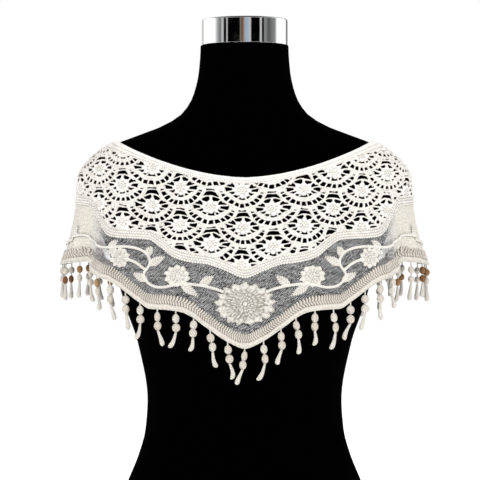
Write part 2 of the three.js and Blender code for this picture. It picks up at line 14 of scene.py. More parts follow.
import bmesh
import bpy
import numpy as np
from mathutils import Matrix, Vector

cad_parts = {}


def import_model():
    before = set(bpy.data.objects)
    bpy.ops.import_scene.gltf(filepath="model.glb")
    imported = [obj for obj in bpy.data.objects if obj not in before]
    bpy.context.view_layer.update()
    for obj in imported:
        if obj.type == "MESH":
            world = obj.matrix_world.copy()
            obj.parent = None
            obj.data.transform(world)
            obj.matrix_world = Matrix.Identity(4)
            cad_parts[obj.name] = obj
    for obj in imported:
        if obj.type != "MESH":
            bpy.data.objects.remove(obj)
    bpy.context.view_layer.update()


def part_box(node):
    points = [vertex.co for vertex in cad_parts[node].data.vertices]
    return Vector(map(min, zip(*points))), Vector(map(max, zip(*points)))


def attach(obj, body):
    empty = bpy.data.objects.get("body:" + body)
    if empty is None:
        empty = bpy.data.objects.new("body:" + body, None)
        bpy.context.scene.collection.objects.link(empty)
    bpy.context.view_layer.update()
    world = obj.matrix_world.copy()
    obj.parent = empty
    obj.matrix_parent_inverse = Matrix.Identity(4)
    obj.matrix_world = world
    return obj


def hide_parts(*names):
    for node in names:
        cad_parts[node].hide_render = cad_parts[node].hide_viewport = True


Color = tuple[float, float, float]
Socket = bpy.types.NodeSocket
Grids = tuple[np.ndarray, np.ndarray]
Mesh = tuple[np.ndarray, list[np.ndarray]]  # points, and arrays of vertex numbers with a row for each face

MM = 0.001
LOG = logging.getLogger("cape")

SEAM = 0.35  # gap between pieces that are sewn together
NECK_BAND = 6.0
CROCHET_BAND = 10.0
HEM_BAND = 15.0
OUTSIDE = -9.0  # how far inside the cloth a point well away from it is
# The flat patterns' widths, from past one side seam to past the other.
CROCHET_SPAN = (-246.0, 246.0)
HEM_SPAN = (-286.0, 286.0)


class Side(Enum):
    """A side of the cape, whose value is its direction along an axis."""

    @property
    def word(self) -> str:
        """The side's name in piece and node names."""
        return self.name.lower()


class Half(Side):
    """The two halves of the cape, with the way each faces along Y."""

    FRONT = -1
    BACK = 1


class Hand(Side):
    """The wearer's two sides, with their direction along X."""

    RIGHT = -1
    LEFT = 1


class Placement(Enum):
    """What a cloth pattern is built as."""

    CLOSED = "closed"  # two layers that meet in a rounded edge
    SINGLE = "single"  # one layer


class Table:
    """A smooth curve through rows of numbers, which never overshoots them."""

    def __init__(self, rows: Sequence[Sequence[float]]) -> None:
        """Works out the curve.

        Args:
            rows: Each a place, followed by one value for each column.
        """
        data = np.array(rows, float)
        self.places = data[:, 0]
        self.values = data[:, 1:]
        spans = np.diff(self.places)[:, None]
        slopes = np.diff(self.values, axis=0) / spans
        before, after = slopes[:-1], slopes[1:]
        same_way = before * after > 0
        total = np.where(same_way, before + after, 1.0)
        self.tangents = np.zeros_like(self.values)
        self.tangents[1:-1] = np.where(same_way, 2 * before * after / total, 0.0)

    def at(self, place: np.ndarray, column: int = 0) -> np.ndarray:
        """Reads a column at many places.

        Args:
            place: Where to read, clamped to the table's ends.
            column: The column to read.

        Returns:
            The values, in the shape of place.
        """
        place = np.clip(place, self.places[0], self.places[-1])
        i = np.clip(np.searchsorted(self.places, place) - 1, 0, len(self.places) - 2)
        span = self.places[i + 1] - self.places[i]
        s = (place - self.places[i]) / span
        low, high = self.values[i, column], self.values[i + 1, column]
        leave, arrive = self.tangents[i, column], self.tangents[i + 1, column]
        return (
            (2 * s**3 - 3 * s**2 + 1) * low
            + (s**3 - 2 * s**2 + s) * span * leave
            + (3 * s**2 - 2 * s**3) * high
            + (s**3 - s**2) * span * arrive
        )


# Level sections of the form: height, half width, depth in front, depth behind.
FORM = Table(
    [
        (0, 156, 92, 108),
        (34, 157, 95, 110),
        (66, 149, 94, 105),
        (103, 135, 91, 96),
        (130, 124, 87, 87),
        (160, 116, 83, 78),
        (195, 113.5, 81, 73),
        (260, 124.5, 96, 80),
        (300, 138, 112, 89),
        (362, 157, 118, 98),
        (397, 172, 109, 101),
        (422, 184, 100.5, 100),
        (440, 191, 94.5, 98),
        (451, 192, 90.5, 96),
        (462, 188, 86, 93),
        (474, 178.5, 81, 89),
        (486, 164.5, 75.5, 84.5),
        (496, 144, 71, 80),
        (506, 117, 66.5, 74),
        (516, 92, 62, 68),
        (530, 72, 58, 62),
        (550, 60, 54, 57),
        (578, 53.5, 52, 53),
        (608, 51.5, 51.5, 51.5),
    ]
)
# The inside of the hanging cloth below the shoulders: height, half width, depth in front, depth behind.
DRAPE = Table(
    [
        (250, 228, 126.8, 112.8),
        (290, 225, 125.6, 110.6),
        (320, 221, 124.2, 108.6),
        (345, 216, 122.6, 106.6),
        (370, 208, 118.8, 104.6),
        (397, 201, 110.8, 103.2),
        (420, 197, 102.9, 102),
        (440, 195.1, 97, 100.5),
        (451, 194.8, 93.3, 98.8),
    ]
)
# Heights of the crochet's stepped lower border and of the hem, by share of the way to the side seam.
CROCHET_EDGE = Table(
    [
        (0, 338),
        (0.08, 346),
        (0.155, 353),
        (0.23, 355.5),
        (0.3, 360.5),
        (0.367, 372),
        (0.43, 380.5),
        (0.592, 383),
        (0.64, 385.5),
        (0.69, 395),
        (0.745, 410.5),
        (0.8, 419.5),
        (0.95, 422),
        (1, 422.5),
    ]
)
HEM_EDGE = Table(
    [
        (0, 262.5),
        (0.05, 267.5),
        (0.16, 287.5),
        (0.21, 297.5),
        (0.255, 303),
        (0.32, 305.5),
        (0.385, 306.5),
        (0.437, 314.5),
        (0.53, 330.5),
        (0.58, 337),
        (0.64, 341),
        (0.7, 348),
        (0.765, 359),
        (0.85, 357),
        (1, 354),
    ]
)


def ease(value: np.ndarray, low: float, high: float) -> np.ndarray:
    """Rises smoothly from 0 at low to 1 at high."""
    s = np.clip((value - low) / (high - low), 0, 1)
    return s * s * (3 - 2 * s)


def dome(distance: np.ndarray, radius: float) -> np.ndarray:
    """The height of a unit dome at a distance from its middle."""
    return np.sqrt(np.clip(1 - (distance / radius) ** 2, 0, 1))


def uneven(x: np.ndarray, z: np.ndarray, size: float, seed: int) -> np.ndarray:
    """A smooth, repeatable field from about -1 to 1.

    Args:
        x: Distances round from the centre line.
        z: Heights.
        size: How far across its swells are.
        seed: Which field it is.

    Returns:
        The field at each point.
    """
    total = np.zeros_like(x)
    for angle, phase, longer in np.random.default_rng(seed).random((7, 3)) * (math.tau, math.tau, 1.0):
        rate = math.tau / (size * (1.2 + longer))
        total += np.sin(rate * (x * math.cos(angle) + z * math.sin(angle)) + phase)
    return total / 2.6


def wander(x: np.ndarray, z: np.ndarray, *swells: tuple[float, float, int]) -> np.ndarray:
    """A sum of uneven fields, each given by its height, its size and its seed."""
    return sum(height * uneven(x, z, size, seed) for height, size, seed in swells)


def waves(turn: np.ndarray) -> np.ndarray:
    """Waves from 0 to 1, one for each full turn."""
    return 0.5 + 0.5 * np.cos(turn)


def line_up(x: np.ndarray, z: np.ndarray, start: np.ndarray, way: np.ndarray) -> Grids:
    """How far along a unit way from its start points lie, and how far aside of it."""
    x, z = x - start[0], z - start[1]
    return x * way[0] + z * way[1], x * -way[1] + z * way[0]


def least(*parts: np.ndarray) -> np.ndarray:
    """What lies inside all of the parts."""
    return np.minimum.reduce(np.broadcast_arrays(*parts))


def most(*parts: np.ndarray) -> np.ndarray:
    """What lies inside any of the parts."""
    return np.maximum.reduce(np.broadcast_arrays(*parts))


@dataclass(frozen=True)
class Ring:
    """A ring of stitched puffs in a flower: its radius, and the puffs' half length outwards and half width.

    Puffs are oval where point is 2, and pointed where it is 1.
    """

    radius: float
    puffs: int
    length: float
    width: float
    height: float
    point: float = 2.0


def rosette(u: np.ndarray, v: np.ndarray, rings: Sequence[Ring], ground: float = 0.3) -> Grids:
    """A stitched flower, whose first ring is the outer one.

    Args:
        u: Distances across from its middle.
        v: Distances up from its middle.
        rings: Its rings of puffs.
        ground: The height of the stitches between them.

    Returns:
        How far inside it each point lies, and the height there.
    """
    out, turn = np.hypot(u, v), np.arctan2(u, v)
    inside = rings[0].radius + 0.35 * rings[0].length - out
    height = np.full_like(out, ground)
    for number, ring in enumerate(rings):
        sector = math.tau / ring.puffs
        off = ((turn / sector + (number + 1) / 2) % 1 - 0.5) * sector
        outward = np.abs(out * np.cos(off) - ring.radius) / ring.length
        aside = np.abs(out * np.sin(off)) / ring.width
        away = (outward**ring.point + aside**ring.point) ** (1 / ring.point)
        height = np.maximum(height, ground + ring.height * dome(away, 1.0))
        if number == 0:
            inside = np.maximum(inside, (1 - away) * min(ring.length, ring.width))
    return inside, height


@dataclass(frozen=True)
class Fold:
    """A soft fold: its place and width as shares of the half, and its depth on each side.

    It starts at the height top, has its depth at the height full, and moves outwards by drift for each
    100 mm down.
    """

    across: float
    width: float
    right: float
    left: float
    drift: float = 0.0
    top: float = 415.0
    full: float = 352.0


@dataclass
class Drape:
    """The shape that the cape takes on the form."""

    ease: float = 2.8
    shoulder_z: float = 451.0
    arc_steps: int = 40
    neck_curve: float = 1.8
    neck_centre: dict = field(default_factory=lambda: {Half.FRONT: 451.5, Half.BACK: 475.5})
    neck_rise: dict = field(default_factory=lambda: {Half.FRONT: 44.0, Half.BACK: 20.0})
    folds: tuple = (
        Fold(across=0.765, width=0.058, right=10.5, left=9),
        Fold(across=0.66, width=0.035, right=2.5, left=3.5),
        Fold(across=0.9, width=0.04, right=2.5, left=3.5),
        Fold(across=0.69, width=0.014, right=2.4, left=2.6, drift=0.06, full=385),
        Fold(across=0.728, width=0.013, right=-2.0, left=-1.8, drift=0.06, full=385),
        Fold(across=0.8, width=0.014, right=2.6, left=2.2, drift=0.05, full=380),
        Fold(across=0.845, width=0.013, right=-1.8, left=-2.0, drift=0.05, full=380),
        Fold(across=0.89, width=0.012, right=2.0, left=2.4, drift=0.03, full=380),
        Fold(across=0.945, width=0.012, right=1.8, left=1.6, drift=0.02, full=380),
    )
    middle: Vector = field(default_factory=Vector)  # of the neck, in metres
    share_step: float = 0.004  # either side of a point, where its normal is found

    def section(self, half: Half, z: np.ndarray) -> Grids:
        """Measures the cloth's inside at some heights.

        Args:
            half: The front or the back.
            z: Heights.

        Returns:
            Its half widths and its depths.
        """
        column = 1 if half is Half.FRONT else 2
        on_form = z >= self.shoulder_z
        side = np.where(on_form, FORM.at(z, 0) + self.ease, DRAPE.at(z, 0))
        depth = np.where(on_form, FORM.at(z, column) + self.ease, DRAPE.at(z, column))
        return side, depth

    def arcs(self, side: np.ndarray, depth: np.ndarray) -> np.ndarray:
        """Measures quarter ellipses from their depth ends to their side ends.

        Args:
            side: The ellipses' half widths.
            depth: Their depths.

        Returns:
            One row of running lengths for each ellipse.
        """
        angles = np.linspace(0, math.pi / 2, self.arc_steps + 1)
        steps = np.hypot(side[:, None] * np.diff(np.sin(angles)), depth[:, None] * np.diff(np.cos(angles)))
        return np.concatenate([np.zeros((len(side), 1)), np.cumsum(steps, axis=1)], axis=1)

    def quarter(self, half: Half, z: np.ndarray) -> np.ndarray:
        """The lengths round the cloth from the centre line to the side seam at some heights."""
        flat = np.ravel(z)
        return self.arcs(*self.section(half, flat))[:, -1].reshape(np.shape(z))

    def spread(self, half: Half, x: np.ndarray, z: np.ndarray) -> Grids:
        """For the points of a grid, their shares across and how far inside the side seams they are."""
        round_there = self.quarter(half, z[:, 0])[:, None]
        return x / round_there, round_there - np.abs(x)

    def fold_depth(self, across: np.ndarray, z: np.ndarray) -> np.ndarray:
        """How far the folds pull the cloth in.

        Args:
            across: Shares of the way to the side seams.
            z: Heights.

        Returns:
            A distance for each point.
        """
        total = np.zeros_like(across)
        for fold in self.folds:
            grown = ease(fold.top - z, 0, fold.top - fold.full)
            deep = np.where(across < 0, fold.right, fold.left)
            place = fold.across + fold.drift * (fold.top - z) / 100
            total += grown * deep * np.exp(-(((np.abs(across) - place) / fold.width) ** 2))
        return total

    def inside(self, half: Half, across: np.ndarray, z: np.ndarray) -> np.ndarray:
        """Points on the inside of the cloth.

        Args:
            half: The front or the back.
            across: Shares of the way from the centre line to the side seams, from -1 to 1.
            z: Heights.

        Returns:
            One row of x, y, z for each point.
        """
        side, depth = self.section(half, z)
        arc = self.arcs(side, depth)
        target = np.clip(np.abs(across), 0, 1) * arc[:, -1]
        i = np.clip((arc < target[:, None]).sum(axis=1) - 1, 0, self.arc_steps - 1)
        row = np.arange(len(z))
        share = (target - arc[row, i]) / (arc[row, i + 1] - arc[row, i])
        angle = (i + share) * (math.pi / 2 / self.arc_steps)
        fold = self.fold_depth(across, z)
        x = np.sign(across) * (side - fold) * np.sin(angle)
        y = half.value * (depth - fold) * np.cos(angle)
        return np.stack([x, y, z], axis=1)

    def points(self, half: Half, x: np.ndarray, z: np.ndarray, offset: np.ndarray) -> np.ndarray:
        """Points that stand off the inside of the cloth along its outward normal.

        Args:
            half: The front or the back.
            x: Distances round from the centre line.
            z: Heights.
            offset: Distances from the inside of the cloth.

        Returns:
            One row of x, y, z in metres for each point, in the object's frame.
        """
        across = np.clip(x / self.quarter(half, z), -1, 1)
        left, right = np.minimum(1, across + self.share_step), np.maximum(-1, across - self.share_step)
        along = self.inside(half, left, z) - self.inside(half, right, z)
        up = self.inside(half, across, z + 1) - self.inside(half, across, z - 1)
        normal = np.cross(along, up) * -half.value
        normal /= np.linalg.norm(normal, axis=1)[:, None]
        placed = self.inside(half, across, z) + normal * np.reshape(offset, (-1, 1))
        return placed * MM + np.array(self.middle)

    def neck(self, half: Half, across: np.ndarray) -> np.ndarray:
        """The neckline's height."""
        turn = np.sin(math.pi / 2 * np.clip(np.abs(across), 0, 1))
        return self.neck_centre[half] + self.neck_rise[half] * turn**self.neck_curve

    def crochet(self, across: np.ndarray) -> np.ndarray:
        """The height of the crochet's lower border."""
        return CROCHET_EDGE.at(np.abs(across))

    def hem(self, across: np.ndarray) -> np.ndarray:
        """The height of the hem."""
        return HEM_EDGE.at(np.abs(across))


@dataclass
class Pattern:
    """A flat grid over distance round and height, with what the cloth does at each of its points.

    thread is how far inside the cloth a point lies, negative in a gap. top and low are the heights of the two
    faces above the inside of the cloth, and relief is how proud the thread stands, of which 0 to 1 counts;
    the thread materials paint shade from it, darker where it is low. u and v run along and across the
    stitches, where those differ from x and z.
    """

    x: np.ndarray
    z: np.ndarray
    thread: np.ndarray
    top: np.ndarray | float
    low: float
    relief: np.ndarray
    u: np.ndarray | None = None
    v: np.ndarray | None = None


def grid(x_range: Sequence[float], z_range: Sequence[float], cell: float) -> Grids:
    """The points of a grid with square cells."""
    return tuple(np.meshgrid(*(np.arange(low, high + cell, cell) for low, high in (x_range, z_range))))


@dataclass
class ClothBuilder:
    """Lays patterns on the drape as meshes whose edges follow the thread."""

    drape: Drape
    edge_round: float = 0.9  # how far in from an edge its rounding reaches
    nearest: float = 0.04  # the smallest share of a cell's side between a grid point and an edge

    def faces_of(self, inside: np.ndarray) -> list[np.ndarray]:
        """The faces of a pattern, by numbers of grid points and of the crossings between them.

        Args:
            inside: Whether each grid point lies in the cloth.

        Returns:
            Arrays of triangles and quads. Point n of the grid is number n, the crossing to its right
            is n plus the count of points, and the crossing above it is n plus twice the count.
        """
        rows, columns = inside.shape
        count = rows * columns
        first = (np.arange(rows - 1)[:, None] * columns + np.arange(columns - 1)).ravel()
        corners = [first, first + 1, first + columns + 1, first + columns]
        crossings = [first + count, first + 1 + 2 * count, first + columns + count, first + 2 * count]
        flat = inside.ravel()
        held = [flat[corner] for corner in corners]
        kind = sum(held[i].astype(int) << i for i in range(4))
        faces = []
        for case in range(1, 16):
            cells = np.nonzero(kind == case)[0]
            walk = []
            for i in range(4):
                here, there = case >> i & 1, case >> (i + 1) % 4 & 1
                if here:
                    walk.append(corners[i][cells])
                if here != there:
                    walk.append(crossings[i][cells])
            for start in range(1, len(walk) - 1, 2):
                faces.append(np.stack([walk[0], *walk[start : start + 3]], axis=1))
        return [face for face in faces if len(face)]

    def build(self, name: str, half: Half, pattern: Pattern, placement: Placement) -> bpy.types.Object:
        """Makes one piece of cloth.

        Args:
            name: The piece's name.
            half: The half of the cape that it lies on.
            pattern: Its flat pattern.
            placement: Whether it has one layer or two.

        Returns:
            The new object, with its flat pattern as its UV map and its relief as an attribute.
        """
        thread = pattern.thread
        columns = thread.shape[1]
        count = thread.size
        faces = self.faces_of(thread > 0)
        used, renumbered = np.unique(np.concatenate([face.ravel() for face in faces]), return_inverse=True)
        start = used % count
        other = start + np.where(used < count, 0, np.where(used < 2 * count, 1, columns))
        points = used < count
        given = {**vars(pattern), "relief": np.clip(pattern.relief, 0, 1)}
        given["u"] = pattern.x if pattern.u is None else pattern.u
        given["v"] = pattern.z if pattern.v is None else pattern.v
        flat = {key: np.broadcast_to(column, thread.shape).ravel() for key, column in given.items()}
        ahead, behind = flat["thread"][start], flat["thread"][other]
        gap = np.where(points, 1.0, ahead - behind)
        share = np.where(points, 0.0, np.clip(ahead / gap, self.nearest, 1 - self.nearest))
        value = {key: column[start] * (1 - share) + column[other] * share for key, column in flat.items()}
        deep = np.where(points, np.maximum(ahead, 0), 0) / self.edge_round
        bulge = np.sqrt(1 - (1 - np.minimum(deep, 1)) ** 2)
        middle = (value["top"] + value["low"]) / 2
        swell = bulge * (value["top"] - value["low"]) / 2
        shape = self.drape.points(half, value["x"], value["z"], middle + swell)
        uv = np.stack([value["u"], value["v"]], axis=1)
        splits = np.cumsum([face.size for face in faces])[:-1]
        parts = np.split(renumbered.ravel(), splits)
        numbered = [part.reshape(-1, face.shape[1]) for part, face in zip(parts, faces)]
        if half is Half.BACK:
            numbered = [face[:, ::-1] for face in numbered]
        relief = value["relief"]
        if placement is Placement.CLOSED:
            # Painted shade: relief fades towards the rounded edges and is 0 on the under layer, so the thread
            # darkens there.
            relief = relief * bulge
            lower = self.drape.points(half, value["x"][points], value["z"][points], (middle - swell)[points])
            under = np.arange(len(used))
            under[points] = len(used) + np.arange(points.sum())
            numbered += [under[face][:, ::-1] for face in numbered]
            shape = np.concatenate([shape, lower])
            uv = np.concatenate([uv, uv[points]])
            relief = np.concatenate([relief, np.zeros(points.sum())])
        return mesh_object(name, shape, numbered, uv * MM, {"relief": relief})


def mesh_object(
    name: str,
    points: np.ndarray,
    faces: Sequence[np.ndarray],
    uv: np.ndarray | None,
    attributes: dict[str, np.ndarray],
) -> bpy.types.Object:
    """Makes a smooth-shaded object from arrays.

    Args:
        name: The object's name.
        points: One row of x, y, z in metres for each vertex.
        faces: Arrays of vertex numbers, one row for each face.
        uv: One row of u, v for each vertex, or None.
        attributes: Numbers to keep on the vertices, by name.

    Returns:
        The new object, linked to the scene.
    """
    mesh = bpy.data.meshes.new(name)
    mesh.from_pydata(points.tolist(), [], [row for face in faces for row in face.tolist()])
    if uv is not None:
        corners = np.empty(len(mesh.loops), int)
        mesh.loops.foreach_get("vertex_index", corners)
        mesh.uv_layers.new(name="UVMap").data.foreach_set("uv", uv[corners].ravel())
    for key, numbers in attributes.items():
        layer = mesh.attributes.new(key, "FLOAT", "POINT")
        layer.data.foreach_set("value", numbers.astype(np.float32))
    mesh.polygons.foreach_set("use_smooth", np.ones(len(mesh.polygons), bool))
    mesh.update()
    made = bpy.data.objects.new(name, mesh)
    bpy.context.scene.collection.objects.link(made)
    return made


@dataclass
class CrochetRepeat:
    """One flower of the crochet with the fan below it and the threads above it, in millimetres.

    The fan's rings are ellipses, squeezed across by stretch. From the flower outwards they hold a band of
    stitches, a ladder of posts, and a rim that the flowers below hang from.
    """

    stretch: float = 0.79
    reach: float = 24.2
    roundness: float = 1.7
    squeeze: float = 0.8
    flower: tuple = (
        Ring(radius=6.5, puffs=8, length=2.5, width=2.35, height=1.35),
        Ring(radius=2.75, puffs=6, length=1.0, width=1.1, height=1.1),
        Ring(radius=0.0, puffs=1, length=1.0, width=1.0, height=1.3),
    )
    band_inner: float = 10.6
    band_outer: float = 15.7
    band_turn: float = 1.62  # radians from straight down to where the band ends
    ladder_outer: float = 20.0
    post_half: float = 0.95
    post_turn: float = math.radians(16.4)
    ladder_turn: float = 1.5
    rim_turn: float = 1.8
    knot: tuple = (15.4, 21.5, 1.4)  # where neighbours join: from and to outwards, and from what turn
    free_from: float = 7.5  # how far from the flower's middle its threads start
    # Degrees from upright, half width and length of the threads that hold the flower.
    spokes: tuple = (
        (0, 1.2, 12.4),
        (46, 1.0, 16),
        (78, 1.0, 19.5),
        (104, 1.0, 17.5),
        (130, 1.0, 14),
        (157, 1.0, 12),
    )
    # The arches over the flower: how far out they lie, their half width, and radians to either side.
    arches: tuple = ((12.6, 0.95, 1.15), (18.2, 0.85, 0.75))

    def rows(self, out: np.ndarray, turn: np.ndarray, inner: float, row: float, stitch: float) -> np.ndarray:
        """Works stitches in rows round the flower, each row half a stitch on from the last.

        Args:
            out: Distances from the flower's middle.
            turn: Turns round it, in radians.
            inner: Where the first row starts.
            row: The rows' spacing.
            stitch: The turn that a stitch takes.

        Returns:
            The stitches' height at each point.
        """
        number = np.floor((out - inner) / row)
        across = np.abs(np.sin(math.pi * (out - inner) / row))
        return 0.35 + 1.15 * across * (0.3 + 0.7 * waves(math.tau * (turn / stitch + number / 2)))

    def lower(self, du: np.ndarray, dv: np.ndarray) -> dict[str, np.ndarray]:
        """Lays out the parts of the fan.

        Args:
            du: Distances across from the flower's middle.
            dv: Distances up from it.

        Returns:
            How far inside each part each point lies, its distance out, and the stitches' height there.
        """
        out = np.hypot(self.stretch * du, dv)
        turn = np.arctan2(self.stretch * du, -dv)
        side = np.abs(turn)
        inner = self.band_inner + 4.2 * ease(side, 1.0, 1.5)
        outer = self.band_outer + 1.5 * ease(side, 0.8, 1.4)
        band = least(out - inner, outer - out, (self.band_turn - side) * out)
        step = ((turn / self.post_turn) % 1 - 0.5) * self.post_turn * out
        rungs = least(out - outer + 0.5, self.ladder_outer + 0.4 - out, (self.ladder_turn - side) * out)
        post = least(self.post_half - np.abs(step), rungs)
        low, high, start = self.knot
        knot = least(out - low, high - out, (side - start) * out, (self.rim_turn - side) * out)
        power = self.roundness
        edge = self.reach - (np.abs(self.stretch * du) ** power + np.abs(dv) ** power) ** (1 / power)
        rim = least(out - self.ladder_outer, edge, (self.rim_turn - side) * out)
        near = self.rows(out, turn, self.band_inner, 2.6, 0.22)
        far = self.rows(out, turn, self.ladder_outer, 2.15, 0.135)
        return {
            "out": out,
            "band": band,
            "post": post,
            "knot": knot,
            "rim": rim,
            "edge": edge,
            "rows": np.where(out > self.ladder_outer - 1, far, near),
        }

    def upper(self, du: np.ndarray, dv: np.ndarray, out: np.ndarray) -> np.ndarray:
        """The thin threads round the flower, and those that join its petals to the fan.

        Args:
            du: Distances across from the flower's middle.
            dv: Distances up from it.
            out: Distances from the flower's middle, squeezed as the fan is.

        Returns:
            How far inside a thread each point lies.
        """
        up = math.pi - np.abs(np.arctan2(self.stretch * du, -dv))
        threads = np.full_like(du, OUTSIDE)
        for angle, half_width, length in self.spokes:
            away = up - math.radians(angle)
            spoke = least(half_width - np.abs(out * np.sin(away)), length - out)
            threads = np.maximum(threads, np.where(np.cos(away) > 0, spoke, OUTSIDE))
        arches = (least(half - np.abs(out - place), (turn - up) * out) for place, half, turn in self.arches)
        return most(least(threads, out - self.free_from), *arches)

    def all(self, du: np.ndarray, dv: np.ndarray) -> dict[str, np.ndarray]:
        """Everything that one repeat says about points near it.

        Args:
            du: Distances across from the flower's middle.
            dv: Distances up from it.

        Returns:
            For each point how far inside the thread, its petals, its edge and its rim it is, and heights.
        """
        blossom, blossom_height = rosette(self.squeeze * du, dv, self.flower)
        fan = self.lower(du, dv)
        threads = self.upper(du, dv, fan["out"])
        free = most(blossom, threads)
        whole = most(free, fan["band"], fan["post"], fan["rim"], fan["knot"])
        in_rows = (fan["band"] > 0) | (fan["rim"] > 0) | (fan["knot"] > 0)
        height = np.where(blossom > 0, blossom_height, np.where(in_rows, fan["rows"], 1.0))
        return {
            "whole": whole,
            "height": height,
            "free": free,
            "free_height": np.where(blossom > 0, blossom_height, 1.0),
            "edge": fan["edge"],
            "rim": least(fan["out"] - self.ladder_outer, fan["edge"]),
            "out": fan["out"],
        }


@dataclass
class Crochet:
    """The openwork crochet: repeats in columns, alternate columns half a row apart."""

    drape: Drape
    repeat: CrochetRepeat = field(default_factory=CrochetRepeat)
    column: float = 34.8
    middle: float = -3.0
    row: float = 44.0
    zero_z: float = 395.0
    bow: float = 3.2
    tilt: float = 0.02
    columns: int = 7
    cell: float = 0.88
    rim: float = 1.5  # dense crochet along the panel's own edges
    # Where lengths up the cloth are measured: spacing across and up, and reach across, down and up.
    measured: tuple = (4.0, 1.5, 262.0, 70.0, 110.0)

    def along(self, half: Half, x: np.ndarray, z: np.ndarray) -> np.ndarray:
        """Measures up the cloth from the zero row, less the bow of the rows.

        Args:
            half: The front or the back.
            x: Distances round from the centre line.
            z: Heights.

        Returns:
            A length for each point.
        """
        x_step, z_step, far, down, up = self.measured
        xs = np.arange(0, far, x_step)
        zs = np.arange(self.zero_z - down, self.zero_z + up, z_step)
        x_grid, z_grid = np.meshgrid(xs, zs)
        share = np.clip(x_grid / self.drape.quarter(half, z_grid), 0, 1)
        spots = self.drape.inside(half, share.ravel(), z_grid.ravel()).reshape(*x_grid.shape, 3)
        steps = np.linalg.norm(np.diff(spots, axis=0), axis=2)
        lengths = np.concatenate([np.zeros((1, len(xs))), np.cumsum(steps, axis=0)])
        zero = np.array([np.interp(self.zero_z, zs, lengths[:, i]) for i in range(len(xs))])
        lengths -= zero
        i = np.clip(np.abs(x) / x_step, 0, len(xs) - 1.001)
        j = np.clip((z - zs[0]) / z_step, 0, len(zs) - 1.001)
        i0, j0 = i.astype(int), j.astype(int)
        a, b = i - i0, j - j0
        below, above = (lengths[row, i0] * (1 - a) + lengths[row, i0 + 1] * a for row in (j0, j0 + 1))
        level = below * (1 - b) + above * b
        aside = x - self.middle
        turn = np.minimum(self.columns, np.abs(aside) / self.column) / self.columns
        return level - self.bow * np.sin(math.pi * turn) + self.tilt * aside

    def lace(self, x: np.ndarray, along: np.ndarray) -> Grids:
        """Lays the repeats side by side, with upper fans over lower ones.

        Args:
            x: Distances round, as the lace was worked.
            along: Lengths up the cloth.

        Returns:
            How far inside the thread each point lies, and the thread's height there.
        """
        near = []
        aside = x - self.middle
        for columns_on in (0, 1):
            column = np.floor(aside / self.column) + columns_on
            shift = np.where(column % 2 == 0, 0.0, 0.5)
            for rows_up in (1, 0, -1):
                level = np.floor(along / self.row - shift) + rows_up + shift
                said = self.repeat.all(aside - column * self.column, along - level * self.row)
                near.append((level, said))
        owner = np.full_like(x, -1e9)
        thread, height, out = (np.full_like(x, start) for start in (OUTSIDE, 0.6, 0.0))
        for level, said in near:
            take = (said["edge"] > 0) & (level > owner)
            owner = np.where(take, level, owner)
            thread = np.where(take, said["whole"], thread)
            height = np.where(take, said["height"], height)
            out = np.where(take, said["out"], out)
        for level, said in near:
            beneath = (level < owner) & (out > self.repeat.ladder_outer)
            free = beneath & (said["free"] > thread)
            thread = np.where(free, said["free"], thread)
            height = np.where(free, said["free_height"], height)
            thread = np.where(beneath & (said["rim"] > thread), said["rim"], thread)
        return thread, height

    def pattern(self, half: Half) -> Pattern:
        """Lays out one half's openwork.

        Args:
            half: The front or the back.

        Returns:
            The flat pattern.
        """
        x, z = grid(CROCHET_SPAN, (345, 494), self.cell)
        share, seam = self.drape.spread(half, x, z)
        above = self.drape.neck(half, share) - NECK_BAND - z
        below = z - self.drape.crochet(share) - CROCHET_BAND
        inside = least(above, below, seam)
        aside = wander(x, z, (1.2, 55, 1), (0.5, 14, 2), (0.2, 5, 3))
        upward = wander(x, z, (0.9, 50, 4), (0.5, 13, 5), (0.2, 5, 6))
        thread, height = self.lace(x + aside, self.along(half, x, z) + upward)
        pulled_flat = 0.5 * ease(np.abs(share), 0.4, 0.85)
        thread = thread + pulled_flat - 0.12 + 0.12 * uneven(x, z, 8, 8)
        border = self.rim - inside
        height = np.where(border > thread, np.maximum(height, 0.9), height)
        height = height * (1 + 0.16 * uneven(x, z, 3.2, 7))
        thread = np.minimum(np.maximum(thread, border), inside)
        # The relief paints shade where the crochet's thread lies low.
        return Pattern(x, z, thread, 0.5 + height, 0.1, height / 1.6)


